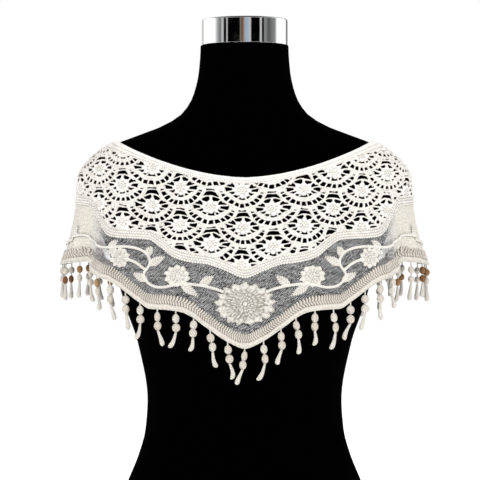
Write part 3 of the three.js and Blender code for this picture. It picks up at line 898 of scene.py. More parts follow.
@dataclass
class Bands:
    """The dense bands: at the neckline, below the openwork, and along the hem."""

    drape: Drape
    cell: float = 0.7
    hem_cell: float = 0.62
    row: float = 2.9
    stitch: float = 3.1
    hem_stitch: float = 3.0
    fan: float = 17.0  # how far either side of a corner the stitches turn gradually
    tuck: float = 0.6  # how far a band reaches under its neighbour
    over_edge: float = 1.5  # how far the hem's roll covers the cord below it
    back: float = 0.05  # from the inside of the drape to the band's own inside
    ply: float = 2.4  # from one twist of a cord to the next

    def lay(
        self, half: Half, x: np.ndarray, z: np.ndarray, edge: Callable[[np.ndarray], np.ndarray]
    ) -> tuple[np.ndarray, np.ndarray, np.ndarray]:
        """Measures a band from the edge that it follows.

        Args:
            half: The front or the back.
            x: Distances round from the centre line.
            z: Heights.
            edge: The height of the band's edge for shares across.

        Returns:
            Heights above the edge, lengths along it, and distances inside the side seams.
        """
        share, seam = self.drape.spread(half, x, z)
        height = edge(share)
        step = x[0, 1] - x[0, 0]
        slope = np.gradient(height, step, axis=1)
        along = np.cumsum(np.sqrt(1 + slope**2), axis=1) * step
        along -= along[:, along.shape[1] // 2][:, None]
        window = np.hanning(2 * round(self.fan / step) + 1)
        lean = np.apply_along_axis(np.convolve, 1, slope, window / window.sum(), "same")
        up = z - height
        return up, along + up * lean / np.sqrt(1 + lean**2), seam

    def puffs(self, up: np.ndarray, along: np.ndarray) -> np.ndarray:
        """The height, from 0 to 1, of rows of close stitches."""
        puff = waves(math.tau * (along / self.stitch + np.floor(up / self.row) / 2))
        return np.abs(np.sin(math.pi * up / self.row)) ** 0.7 * (0.25 + 0.75 * puff)

    def neck(self, half: Half) -> Pattern:
        """The narrow neck band: a smooth roll with a row of chain stitches under it.

        Args:
            half: The front or the back.

        Returns:
            Its flat pattern.
        """
        low = self.drape.neck_centre[half] - NECK_BAND - 3
        high = self.drape.neck_centre[half] + self.drape.neck_rise[half] + 3
        x, z = grid(CROCHET_SPAN, (low, high), self.cell)
        up, along, seam = self.lay(half, x, z, lambda share: self.drape.neck(half, share))
        down = -up
        roll = dome(down - 1.6, 1.75) * (0.88 + 0.12 * np.cos(math.tau * along / self.stitch))
        chain = dome(down - 5.0, 1.6) * (0.65 + 0.35 * np.cos(math.tau * along / self.ply))
        height = 1.2 * most(roll, chain) * (1 + 0.1 * uneven(x, z, 6, 11))
        inside = least(down, NECK_BAND + self.tuck - down, seam)
        # The relief paints shade under the roll and along the chain's low parts.
        return Pattern(x, z, inside, 1.2 + height, self.back, height / 1.15)

    def crochet(self, half: Half) -> Pattern:
        """The stepped band below the openwork, worked in close rows.

        Args:
            half: The front or the back.

        Returns:
            Its flat pattern.
        """
        x, z = grid(CROCHET_SPAN, (334, 436), self.cell)
        up, along, seam = self.lay(half, x, z, self.drape.crochet)
        height = 1.2 * self.puffs(up, along) * (1 + 0.25 * uneven(x, z, 4, 12))
        ripple = 0.4 * np.cos(math.tau * along / self.stitch) - 0.3
        inside = least(up + ripple, CROCHET_BAND + self.tuck - up, seam)
        # The relief paints shade in the grooves between the rows.
        return Pattern(x, z, inside, 0.95 + height, self.back, 0.3 + 0.5 * height, along, up)

    def hem(self, half: Half) -> Pattern:
        """The ribbed hem band: a rolled lower edge, two slanting rows, and a comb of posts on top.

        Args:
            half: The front or the back.

        Returns:
            Its flat pattern.
        """
        x, z = grid(HEM_SPAN, (258, 378), self.hem_cell)
        up, along, seam = self.lay(half, x, z, self.drape.hem)
        up = up + 0.25 * uneven(x, z, 9, 13)
        turn = math.tau * along / self.hem_stitch + 0.35 * uneven(x, z, 12, 14)
        roll = dome(up - 1.0, 2.7) * (0.8 + 0.06 * np.cos(turn) + 0.14 * uneven(x, z, 2.5, 15))
        first = waves(turn + 0.9 * up) * dome(up - 5.9, 2.3)
        second = waves(turn + math.pi - 0.9 * up) * dome(up - 9.6, 2.1)
        comb = waves(turn) * dome(up - 13.0, 2.3)
        height = 0.08 + 0.92 * most(roll, first, second, comb)
        teeth = HEM_BAND - 1.4 + 1.1 * np.cos(turn)
        inside = least(up + self.over_edge, teeth - up, seam)
        # The relief, height to the power 1.5, paints deep shade in the gaps between the hem's stitches.
        return Pattern(x, z, inside, 0.9 + 1.6 * height, self.back, height**1.5)


@dataclass
class Tulle:
    """The fine net between the crochet and the hem, gathered closer towards the shoulders."""

    drape: Drape
    cell: float = 2.2
    level: float = 0.5  # above the inside of the drape
    tuck: tuple[float, float] = (0.3, 1.6)  # how far it reaches under the crochet and under the hem
    gathered: tuple[float, float] = (0.64, 0.77)  # shares across where gathering starts and is full

    def pattern(self, half: Half) -> Pattern:
        """Lays out one half's net.

        Args:
            half: The front or the back.

        Returns:
            The flat pattern.
        """
        x, z = grid(HEM_SPAN, (270, 430), self.cell)
        share, seam = self.drape.spread(half, x, z)
        above = self.drape.crochet(share) + self.tuck[0] - z
        below = z - self.drape.hem(share) - HEM_BAND + self.tuck[1]
        gathered = ease(np.abs(share), *self.gathered)
        return Pattern(x, z, least(above, below, seam), self.level, self.level, gathered)


@dataclass(frozen=True)
class Leaf:
    """A leaf, from its stalk to its tip."""

    x: float
    z: float
    to_x: float
    to_z: float
    half_width: float = 4.3


@dataclass(frozen=True)
class Bloom:
    """A stitched flower: its middle, half width and half height."""

    x: float
    z: float
    wide: float
    high: float


@dataclass
class Embroidery:
    """The vine, leaves and flowers that are stitched on the tulle, in raised ivory thread."""

    drape: Drape
    cell: float = 0.62
    vine_half: float = 1.65
    ply: float = 2.4  # from one twist of the vine's cord to the next
    slant: float = 3.2  # from one slanting stitch of a leaf to the next
    ground: float = 0.3  # the height of the stitches round the motifs' raised parts
    low: float = 1.0  # from the inside of the drape to the inside of the stitching
    vine: tuple = (
        (25, 323.5),
        (33, 326.5),
        (48, 330),
        (70, 332),
        (93, 328),
        (107, 331),
        (115, 341.5),
        (107.5, 355),
        (114, 367),
        (134, 373),
        (170, 372.5),
        (184, 377),
        (196, 385),
        (214, 386.5),
        (236, 380.5),
        (257, 376),
    )
    branch: tuple = ((112.5, 347), (124, 355), (136, 359.5))
    leaves: tuple = (
        Leaf(50, 330, 34.5, 341),
        Leaf(71, 331, 52, 318.5),
        Leaf(108.8, 353, 90, 362),
        Leaf(112, 363.5, 105, 373.5),
        Leaf(110.5, 335.5, 128, 343.5),
        Leaf(160, 373, 148, 379.5, 3.4),
        Leaf(150, 373, 163, 364, 3.4),
        Leaf(224, 384, 213, 397),
    )
    blooms: tuple = (Bloom(76, 340.5, 14.5, 12.2), Bloom(145, 361, 12.4, 11.6))
    centre: Bloom = Bloom(0, 309.5, 34, 24)
    small_rings: tuple = (
        Ring(radius=0.8, puffs=10, length=0.25, width=0.27, height=1.1, point=1.25),
        Ring(radius=0.73, puffs=20, length=0.13, width=0.1, height=1.3),
        Ring(radius=0.48, puffs=14, length=0.12, width=0.09, height=1.4),
        Ring(radius=0.26, puffs=8, length=0.1, width=0.09, height=1.7),
        Ring(radius=0.0, puffs=1, length=0.13, width=0.13, height=2.2),
    )
    centre_rings: tuple = (
        Ring(radius=0.83, puffs=17, length=0.2, width=0.17, height=1.8, point=1.2),
        Ring(radius=0.79, puffs=42, length=0.085, width=0.05, height=1.4),
        Ring(radius=0.63, puffs=34, length=0.085, width=0.05, height=1.6),
        Ring(radius=0.47, puffs=26, length=0.08, width=0.05, height=1.8),
        Ring(radius=0.32, puffs=18, length=0.075, width=0.05, height=2.1),
        Ring(radius=0.19, puffs=11, length=0.06, width=0.05, height=2.4),
        Ring(radius=0.0, puffs=1, length=0.115, width=0.115, height=3.4),
    )

    def smooth(self, rows: Sequence[tuple[float, float]], steps: int) -> np.ndarray:
        """Draws a smooth curve through rows.

        Args:
            rows: The points that the curve goes through.
            steps: How many points it gets for each of them.

        Returns:
            The points along it.
        """
        path = np.array([rows[0], *rows, rows[-1]], float)
        s = np.linspace(0, 1, steps, endpoint=False)[:, None]
        parts = []
        for a, b, c, d in zip(path, path[1:], path[2:], path[3:]):
            bend = (2 * a - 5 * b + 4 * c - d) * s**2 + (3 * b - a - 3 * c + d) * s**3
            parts.append(0.5 * (2 * b + (c - a) * s + bend))
        return np.concatenate([*parts, path[-1:]])

    def stroke(self, x: np.ndarray, z: np.ndarray, path: np.ndarray) -> Grids:
        """Lays the vine's cord along a path.

        Args:
            x: Distances round from the centre line.
            z: Heights.
            path: The cord's own line.

        Returns:
            How far inside the cord each point lies, and how far along it.
        """
        nearest = np.full_like(x, 1e9)
        along = np.zeros_like(x)
        run = 0.0
        for start, end in zip(path[:-1], path[1:]):
            length = float(np.hypot(*(end - start)))
            forward, aside = line_up(x, z, start, (end - start) / length)
            reached = np.clip(forward, 0, length)
            away = np.hypot(forward - reached, aside)
            along = np.where(away < nearest, run + reached, along)
            nearest = np.minimum(nearest, away)
            run += length
        return self.vine_half - nearest, along

    def leaf(self, x: np.ndarray, z: np.ndarray, leaf: Leaf, hand: int) -> Grids:
        """One leaf, worked in slanting stitches.

        Args:
            x: Distances round from the centre line.
            z: Heights.
            leaf: Its place and size.
            hand: The side that it is on, along X.

        Returns:
            How far inside it each point lies, and its height there.
        """
        start = np.array([hand * leaf.x, leaf.z], float)
        way = np.array([hand * leaf.to_x, leaf.to_z], float) - start
        length = float(np.hypot(*way))
        forward, aside = line_up(x, z, start, way / length)
        share = forward / length
        inner = np.clip(share, 0, 1)
        stitch = np.cos(math.tau * (forward - 0.8 * np.abs(aside)) / self.slant)
        reach = 0.5 + leaf.half_width * np.sin(math.pi * inner**0.75) + 1.1 * stitch * inner
        inside = least(reach - np.abs(aside), (share + 0.02) * length, (1.02 - share) * length)
        rib = 1 - 0.55 * dome(aside, 0.8)
        raised = 1.9 * dome(aside, leaf.half_width + 0.9) * (0.55 + 0.45 * stitch) * rib
        return inside, self.ground + raised

    def bloom(self, x: np.ndarray, z: np.ndarray, bloom: Bloom, hand: int, rings: Sequence[Ring]) -> Grids:
        """One flower, a little uneven.

        Args:
            x: Distances round from the centre line.
            z: Heights.
            bloom: Its place and size.
            hand: The side that it is on, along X.
            rings: Its puffs, for a flower of size 1.

        Returns:
            How far inside it each point lies, and its height there.
        """
        u, v = (x - hand * bloom.x) / bloom.wide, (z - bloom.z) / bloom.high
        longer = bloom.wide / bloom.high
        u = u * (longer + (1 - longer) * ease(np.hypot(u, v), 0.15, 0.85))  # its inner rings are round
        u, v = u + 0.025 * uneven(x, z, 7, 22), v + 0.035 * uneven(x, z, 7, 23)
        u, v = u + 0.3 / bloom.wide * uneven(x, z, 2.2, 24), v + 0.3 / bloom.high * uneven(x, z, 2.2, 25)
        inside, height = rosette(u, v, rings, self.ground)
        grain = 1 + 0.28 * uneven(x, z, 2.2, 21)
        return inside * math.sqrt(bloom.wide * bloom.high), height * grain

    def vine_pattern(self, hand: Hand) -> Pattern:
        """Lays out one side's vine, leaves and small flowers.

        Args:
            hand: The side.

        Returns:
            The flat pattern.
        """
        sign = hand.value
        x, z = grid((20, 262) if sign > 0 else (-262, -20), (314, 401), self.cell)
        thread, height = np.full_like(x, OUTSIDE), np.full_like(x, 0.6)
        parts = []
        for rows in (self.vine, self.branch):
            path = self.smooth(rows, 8) * np.array([sign, 1])
            inside, along = self.stroke(x, z, path)
            twist = np.cos(math.tau * along / self.ply)
            raised = 1.9 * dome(self.vine_half - inside, self.vine_half + 0.4) * (0.7 + 0.3 * twist)
            parts.append((inside + 0.25 * twist, self.ground + raised))
        parts += [self.leaf(x, z, leaf, sign) for leaf in self.leaves]
        parts += [self.bloom(x, z, bloom, sign, self.small_rings) for bloom in self.blooms]
        for inside, raised in parts:
            height = np.where(inside > 0, np.where(thread > 0, np.maximum(height, raised), raised), height)
            thread = np.maximum(thread, inside)
        # The relief paints shade where the stitching lies low.
        return Pattern(x, z, thread, self.low + height, self.low, height / 2)

    def centre_pattern(self) -> Pattern:
        """Lays out the large flower.

        Returns:
            The flat pattern.
        """
        x, z = grid((-37, 37), (283, 336), self.cell)
        inside, height = self.bloom(x, z, self.centre, 1, self.centre_rings)
        # The relief paints deeper shade between the large flower's puffs.
        return Pattern(x, z, inside, self.low + height, self.low, (height / 3.6) ** 1.3)


def clear_selection() -> None:
    """Leaves object mode with nothing selected."""
    if bpy.context.object and bpy.context.object.mode != "OBJECT":
        bpy.ops.object.mode_set(mode="OBJECT")
    bpy.ops.object.select_all(action="DESELECT")


def select_vertices(obj: bpy.types.Object, chosen: Callable[[Vector], bool]) -> None:
    """Selects the vertices of an object in edit mode by their place.

    Args:
        obj: The object.
        chosen: Tells from a vertex's own place whether to select it.
    """
    bpy.ops.mesh.select_mode(type="VERT")
    bpy.ops.mesh.select_all(action="DESELECT")
    mesh = bmesh.from_edit_mesh(obj.data)
    for vertex in mesh.verts:
        vertex.select = bool(chosen(vertex.co))
    mesh.select_flush(True)
    bmesh.update_edit_mesh(obj.data)


def begin(add: Callable[..., object], **values: object) -> bpy.types.Object:
    """Adds a primitive and opens it in edit mode, with all of it selected.

    Args:
        add: What adds it.
        **values: What that is given.

    Returns:
        The new object.
    """
    clear_selection()
    add(**values)
    bpy.ops.object.mode_set(mode="EDIT")
    bpy.ops.mesh.select_all(action="SELECT")
    return bpy.context.object


def extrude(rise: float) -> None:
    """Draws what is selected up by a length."""
    bpy.ops.mesh.extrude_region_move(TRANSFORM_OT_translate={"value": (0, 0, rise)})


def resize(x: float, y: float, z: float, centre: Sequence[float]) -> None:
    """Scales what is selected about a centre."""
    bpy.ops.transform.resize(value=(x, y, z), center_override=tuple(centre), orient_type="GLOBAL")


def turn_outwards() -> None:
    """Points all the faces of the open mesh outwards, and closes it."""
    bpy.ops.mesh.select_all(action="SELECT")
    bpy.ops.mesh.normals_make_consistent(inside=False)
    clear_selection()


def settle(obj: bpy.types.Object, name: str) -> bpy.types.Object:
    """Names an object, and puts its place into its mesh.

    Args:
        obj: The object.
        name: Its new name.

    Returns:
        The object.
    """
    clear_selection()
    obj.select_set(True)
    bpy.context.view_layer.objects.active = obj
    bpy.ops.object.transform_apply(location=True, rotation=True, scale=True)
    obj.name = obj.data.name = name
    return obj


@dataclass
class DressForm:
    """The limbless form: one closed body drawn up from its flat base, and the polished cap on its neck."""

    middle: Vector
    sides: int = 112
    ring_step: float = 8.0
    near: float = 1e-5  # metres within which a point counts as on a level
    base_bevel: float = 0.6
    # The cap's ends: the direction of each along Z, and the width of its bevel.
    cap_ends: tuple = ((1, 1.9), (-1, 0.3))
    # Insets of the cap's top and the drop after each: a flat rim, a groove and its disc.
    cap_insets: tuple = ((0.3, 0), (3.4, 0), (0.3, 0), (0.6, -0.5), (0.6, 0.5), (0.3, 0))
    sharp: float = math.radians(40)

    def build_body(self) -> bpy.types.Object:
        """Draws the body up ring by ring from its base.

        Returns:
            The body.
        """
        foot = (self.middle.x, self.middle.y, 0)
        add = bpy.ops.mesh.primitive_circle_add
        body = begin(add, vertices=self.sides, radius=1, fill_type="NGON", location=foot)
        top = FORM.places[-1]
        heights = np.linspace(0, top, int(top / self.ring_step) + 1)
        size = (1.0, 1.0, 1.0)
        for i, z in enumerate(heights):
            if i:
                extrude((z - heights[i - 1]) * MM)
            wanted = tuple(float(FORM.at(np.array(z), column)) * MM for column in range(3))
            self.shape_ring(body, z * MM, tuple(new / old for new, old in zip(wanted, size)))
            size = wanted
        turn_outwards()
        bevel = body.modifiers.new("Bevel", "BEVEL")
        bevel.width = self.base_bevel * MM
        bevel.segments = 2
        bevel.limit_method = "ANGLE"
        bevel.angle_limit = math.radians(60)
        bpy.context.view_layer.objects.active = body
        body.select_set(True)
        bpy.ops.object.modifier_apply(modifier=bevel.name)
        body.data.shade_smooth()
        bpy.ops.object.shade_smooth_by_angle(angle=self.sharp)
        return settle(body, "form_body")

    def shape_ring(self, body: bpy.types.Object, z: float, ratio: Sequence[float]) -> None:
        """Scales the top ring across, and its front and back halves in depth.

        Args:
            body: The form.
            z: The ring's height in metres.
            ratio: How much to scale its width, its depth in front and its depth behind.
        """
        centre = (self.middle.x, self.middle.y, z)
        resize(ratio[0], 1, 1, centre)
        for half, share in ((Half.FRONT, ratio[1]), (Half.BACK, ratio[2])):
            select_vertices(body, lambda co: abs(co.z - z) < self.near and co.y * half.value > 1e-7)
            resize(1, share, 1, centre)
        select_vertices(body, lambda co: abs(co.z - z) < self.near)

    def build_cap(self) -> bpy.types.Object:
        """Makes the cap as a turned disc with softened rims and a fine groove in its top.

        Returns:
            The cap.
        """
        low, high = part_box("neck_cap")
        centre, top = (low + high) / 2, (high.z - low.z) / 2
        radius = (high.y - low.y) / 2
        add = bpy.ops.mesh.primitive_cylinder_add
        cap = begin(add, vertices=128, radius=radius, depth=high.z - low.z, location=centre)
        for end, width in self.cap_ends:
            select_vertices(cap, lambda co: co.z * end > top - self.near / 10)
            bpy.ops.mesh.bevel(offset=width * MM, offset_type="OFFSET", segments=5, affect="EDGES")
            bpy.ops.mesh.select_all(action="SELECT")
            wall_end = centre.z + end * (top - (width + 0.15) * MM)
            bpy.ops.mesh.bisect(plane_co=(0, 0, wall_end), plane_no=(0, 0, 1))
        select_vertices(cap, lambda co: co.z > top - self.near / 10)
        for thickness, drop in self.cap_insets:
            bpy.ops.mesh.inset(thickness=thickness * MM)
            bpy.ops.transform.translate(value=(0, 0, drop * MM))
        clear_selection()
        cap.select_set(True)
        bpy.ops.object.shade_smooth_by_angle(angle=self.sharp)
        return settle(cap, "cap_body")


@dataclass
class Fringe:
    """The drops along the hem: a cord, two thread-wound beads and a club-shaped tail on each."""

    drape: Drape
    spacing: float = 22.2
    strip: float = 2.4
    cord: float = 0.75
    bead: float = 4.9
    dimple: float = 0.14  # of the bead's radius
    length: float = 42.0
    hem_middle: float = 1.2
    # Steps down the tail, as shares of its length, and how much each ring widens.
    club: tuple = (
        (0.06, 1.7),
        (0.2, 1.25),
        (0.2, 1.2),
        (0.2, 1.25),
        (0.14, 1.12),
        (0.1, 0.92),
        (0.06, 0.68),
        (0.03, 0.4),
    )
    # Points down a drop, as shares of its length, each with its shares of the drop's lean and of its kick.
    stops: tuple = ((0, 0, 0), (0.225, 0.25, 0), (0.465, 1, 0), (0.57, 1, 0), (1, 1, 1))
    lean: float = 7.0
    kick: float = 20.0
    bow: float = 5.0
    varied: tuple = (0.9, 0.2)  # the least of a drop's length, as a share, and what may be added
    bead_wide: tuple = (0.7, 0.26)  # the least of a bead's scale across, and what may be added
    bead_long: tuple = (1.6, 0.65)  # its scale along, less this much for each 1 across
    smaller: tuple = (0.16, 0.55, 0.75)  # how much smaller beads get, between these shares across
    tail_wide: tuple = (1.05, 0.85)  # the tail's scale across and in depth
    dyed_from: float = 0.6  # the share across past which some beads are darker
    dyed: float = 0.72  # what a bead's own number, from 0 to 1, is over when it is darker
    dark: tuple = (0.4, 0.6)  # the least of a darker bead's tint, and what may be added
    pale: float = 0.1  # the most of another bead's tint
    under_steps: int = 240
    under_sides: int = 8
    kit: dict[str, Mesh] = field(default_factory=dict)

    def __post_init__(self) -> None:
        """Models one bead, one tail and one length of cord. The tail and cord hang 1 mm long from 0."""
        self.kit = {"bead": self.model_bead(), "tail": self.model_tail(), "cord": self.model_cord()}

    def take(self, obj: bpy.types.Object) -> Mesh:
        """Takes a modelled piece's mesh and removes the piece.

        Args:
            obj: The piece.

        Returns:
            Its points in millimetres, and its faces.
        """
        clear_selection()
        points = np.array([vertex.co for vertex in obj.data.vertices]) / MM
        faces = [np.array([list(face.vertices)]) for face in obj.data.polygons]
        bpy.data.objects.remove(obj)
        return points, faces

    def model_bead(self) -> Mesh:
        """Models a round bead, with a dimple where the cord enters at each end.

        Returns:
            Its mesh.
        """
        radius = self.bead * MM
        bead = begin(bpy.ops.mesh.primitive_uv_sphere_add, segments=14, ring_count=10, radius=radius)
        for end in (1, -1):
            select_vertices(bead, lambda co: co.z * end > radius * 0.99)
            bpy.ops.transform.translate(value=(0, 0, -end * self.dimple * radius))
        return self.take(bead)

    def model_tail(self) -> Mesh:
        """Models a tail that swells to a rounded club, drawn down ring by ring.

        Returns:
            Its mesh.
        """
        add = bpy.ops.mesh.primitive_circle_add
        tail = begin(add, vertices=10, radius=self.cord * MM, fill_type="NGON")
        depth = 0.0
        for step, ratio in self.club:
            extrude(-step * MM)
            depth += step * MM
            resize(ratio, ratio, 1, (0, 0, -depth))
        turn_outwards()
        return self.take(tail)

    def model_cord(self) -> Mesh:
        """Models a short length of cord, a little thicker at its middle.

        Returns:
            Its mesh.
        """
        middle = (0, 0, -MM / 2)
        add = bpy.ops.mesh.primitive_cylinder_add
        cord = begin(add, vertices=8, radius=self.cord * MM, depth=MM, location=middle)
        bpy.ops.mesh.bisect(plane_co=middle, plane_no=(0, 0, 1))
        resize(1.1, 1.1, 1, (0, 0, 0))
        return self.take(settle(cord, "cord"))

    def edge(self, half: Half) -> float:
        """The share across at which the fringe ends, just clear of the side seam."""
        round_there = self.drape.quarter(half, np.array([self.drape.shoulder_z]))
        return 1 - SEAM / 2 / float(round_there[0])

    def under_hem(self, half: Half, share: np.ndarray, drop: np.ndarray, offset: np.ndarray) -> np.ndarray:
        """Points under the hem.

        Args:
            half: The front or the back.
            share: Shares across.
            drop: Distances below the hem.
            offset: Distances from the inside of the cloth.

        Returns:
            One row of x, y, z for each point, from the neck's middle.
        """
        z = self.drape.hem(share) - drop
        points = self.drape.points(half, share * self.drape.quarter(half, z), z, offset)
        return (points - np.array(self.drape.middle)) / MM

    def shares(self, half: Half) -> np.ndarray:
        """Finds where the drops hang, evenly spaced along the hem.

        Args:
            half: The front or the back.

        Returns:
            Shares across the half.
        """
        even = np.linspace(-1, 1, 401)
        shares = np.clip(np.sign(even) * np.abs(even) ** 0.9, -self.edge(half), self.edge(half))
        points = self.drape.inside(half, shares, self.drape.hem(shares))
        along = np.concatenate([[0], np.cumsum(np.linalg.norm(np.diff(points, axis=0), axis=1))])
        count = round(along[-1] / self.spacing)
        return shares[np.searchsorted(along, (np.arange(count) + 0.5) / count * along[-1])]

    def scatter(self, number: int, salt: int) -> float:
        """A repeatable number from 0 to 1 for a drop."""
        value = math.sin(number * 12.9898 + salt * 78.233) * 43758.5453
        return value - math.floor(value)

    def hang(self, name: str, start: np.ndarray, end: np.ndarray, size: Sequence[float], bend: float) -> Mesh:
        """Turns a modelled piece so that it hangs from start towards end.

        Args:
            name: The piece.
            start: Where its own origin goes.
            end: A point that its lower end is aimed at.
            size: Its scale across, in depth and along.
            bend: How far its middle bows aside.

        Returns:
            The placed piece.
        """
        points, faces = self.kit[name]
        down = (end - start) / np.linalg.norm(end - start)
        across = np.cross([0.0, 1.0, 0.0], down)
        across /= np.linalg.norm(across)
        depth = np.cross(down, across)
        local = points * np.array(size)
        local[:, 0] += bend * np.sin(math.pi * np.clip(-points[:, 2], 0, 1) ** 1.3)
        return start + local[:, :1] * across + local[:, 1:2] * depth - local[:, 2:] * down, faces

    def drop(self, number: int, share: float, root: np.ndarray) -> list[tuple[Mesh, float]]:
        """One drop.

        Args:
            number: Its number along the hem.
            share: Its share across.
            root: Where it hangs from.

        Returns:
            Its pieces, each with its tint.
        """
        full = self.length * (self.varied[0] + self.varied[1] * self.scatter(number, 1))
        lean = (self.scatter(number, 2) - 0.5) * self.lean
        kick = (self.scatter(number, 3) - 0.5) * self.kick
        turned = math.cos(math.pi / 2 * share)
        spots = [
            root + np.array([(leaning * lean + kicked * kick) * turned, 0, -down * full])
            for down, leaning, kicked in self.stops
        ]
        pieces = []
        for start, end in zip(spots[:3], spots[1:4]):
            pieces.append((self.hang("cord", start, end, (1, 1, np.linalg.norm(end - start)), 0), 0.0))
        small = 1 - self.smaller[0] * ease(abs(share), *self.smaller[1:])
        for which in (1, 2):
            wide = self.bead_wide[0] + self.bead_wide[1] * self.scatter(number, 3 + which)
            tint = self.pale * self.scatter(number, 9 + which)
            # A few beads towards the sides are drawn darker, tan and red-brown.
            if self.scatter(number, 6 + which) > self.dyed and abs(share) > self.dyed_from:
                tint = self.dark[0] + self.dark[1] * self.scatter(number, 8 + which)
            size = (wide * small, wide * small, (self.bead_long[0] - self.bead_long[1] * wide) * small)
            pieces.append((self.hang("bead", spots[which], spots[which + 1], size, 0), tint))
        tail = np.linalg.norm(spots[4] - spots[3])
        bend = (self.scatter(number, 12) - 0.5) * self.bow * turned
        return [*pieces, (self.hang("tail", spots[3], spots[4], (*self.tail_wide, tail), bend), 0.0)]

    def build(self, half: Half) -> bpy.types.Object:
        """Hangs all the drops of one half from a narrow cord under the hem.

        Args:
            half: The half of the cape.

        Returns:
            One object, with a tint attribute that marks the few darker beads.
        """
        shares = self.shares(half)
        roots = self.under_hem(half, shares, SEAM + self.strip / 2, self.hem_middle)
        pieces = [piece for number, at in enumerate(zip(shares, roots)) for piece in self.drop(number, *at)]
        pieces.append((self.cord_under_hem(half), 0.0))
        starts = np.cumsum([0, *(len(points) for (points, _), _ in pieces)])
        faces = [face + start for ((_, own), _), start in zip(pieces, starts) for face in own]
        tints = np.concatenate([np.full(len(points), tint) for (points, _), tint in pieces])
        shape = np.concatenate([points for (points, _), _ in pieces]) * MM + np.array(self.drape.middle)
        return mesh_object(f"drops_{half.word}", shape, faces, None, {"tint": tints})

    def cord_under_hem(self, half: Half) -> Mesh:
        """Lays the cord that the drops hang from.

        Args:
            half: The front or the back.

        Returns:
            Its mesh.
        """
        count, sides = self.under_steps, self.under_sides
        shares = np.linspace(-self.edge(half), self.edge(half), count)
        turns = np.arange(sides) * math.tau / sides
        share, turn = (part.ravel() for part in np.meshgrid(shares, turns, indexing="ij"))
        drop = SEAM + self.strip / 2 * (1 - 0.92 * np.sin(turn))
        points = self.under_hem(half, share, drop, self.hem_middle * (1 + 0.8 * np.cos(turn)))
        i, j = (part.ravel() for part in np.meshgrid(np.arange(count - 1), np.arange(sides), indexing="ij"))
        a, b = i * sides + j, i * sides + (j + 1) % sides
        quads = np.stack([a, a + sides, b + sides, b], axis=1)
        ends = [np.arange(sides)[None, :], (count - 1) * sides + np.arange(sides)[None, ::-1]]
        flip = slice(None) if half is Half.FRONT else slice(None, None, -1)
        return points, [quads[:, flip], *(end[:, flip] for end in ends)]


class Nodes:
    """A short way to lay out the nodes of one material or group."""

    def __init__(self, tree: bpy.types.NodeTree) -> None:
        """Takes the tree that the nodes go into."""
        self.tree = tree

    def add(self, kind: str, inputs: dict | None = None, **values: object) -> bpy.types.Node:
        """Adds a node, sets its properties, and sets or links its inputs.

        Args:
            kind: The node's type.
            inputs: Input names or numbers, each with a value or with the socket that feeds it.
            **values: Properties of the node.

        Returns:
            The new node.
        """
        node = self.tree.nodes.new(kind)
        for key, value in values.items():
            setattr(node, key, value)
        for key, value in (inputs or {}).items():
            if isinstance(value, Socket):
                self.tree.links.new(value, node.inputs[key])
            else:
                node.inputs[key].default_value = value
        return node

    def math(self, operation: str, *inputs: object) -> Socket:
        """Adds a Math node and gives its result."""
        return self.add("ShaderNodeMath", dict(enumerate(inputs)), operation=operation).outputs[0]

    def vector(self, operation: str, inputs: dict) -> Socket:
        """Adds a Vector Math node and gives its vector."""
        return self.add("ShaderNodeVectorMath", inputs, operation=operation).outputs[0]

    def noise(self, place: Socket, scale: float, detail: float, output: str = "Fac") -> Socket:
        """Adds a Noise Texture and gives its value, or its color."""
        inputs = {"Vector": place, "Scale": scale, "Detail": detail}
        return self.add("ShaderNodeTexNoise", inputs).outputs[output]

    def attribute(self, name: str) -> Socket:
        """Reads an attribute of the mesh."""
        return self.add("ShaderNodeAttribute", attribute_name=name).outputs["Fac"]

    def place(self, kind: str = "Object") -> Socket:
        """Reads where a point is, or which way it lies."""
        return self.add("ShaderNodeTexCoord").outputs[kind]

    def rescale(self, value: Socket, old: Sequence, new: Sequence = (0, 1), **values: object) -> Socket:
        """Adds a Map Range node, from an old range to a new one, and gives its result."""
        inputs = {"Value": value, "From Min": old[0], "From Max": old[1], "To Min": new[0], "To Max": new[1]}
        return self.add("ShaderNodeMapRange", inputs, **values).outputs[0]

    def mix(self, share: Socket, first: object, second: object) -> Socket:
        """Adds a Mix node for colors and gives its color."""
        return self.add("ShaderNodeMix", {0: share, 6: first, 7: second}, data_type="RGBA").outputs[2]

    def ramp(self, value: Socket, stops: Sequence[tuple[float, Sequence[float]]]) -> Socket:
        """Adds a Color Ramp.

        Args:
            value: What picks the color.
            stops: Places from 0 to 1, in order, each with its color.

        Returns:
            The color.
        """
        node = self.add("ShaderNodeValToRGB", {"Fac": value})
        elements = node.color_ramp.elements
        while len(elements) < len(stops):
            elements.new(0.5)
        for element, (place, color) in zip(elements, stops):
            element.position = place
            element.color = (*color, 1)
        return node.outputs[0]

    def bump(self, height: Socket, strength: float, distance: float) -> Socket:
        """Adds a Bump node and gives its normal."""
        inputs = {"Strength": strength, "Distance": distance, "Height": height}
        return self.add("ShaderNodeBump", inputs).outputs[0]

    def yarn(self, place: Socket, pitch: float) -> bpy.types.Node:
        """Adds spun thread of a pitch in millimetres, with outputs Height and Shade."""
        return self.add("ShaderNodeGroup", {"Vector": place, "Pitch": pitch * MM}, node_tree=yarn_group())


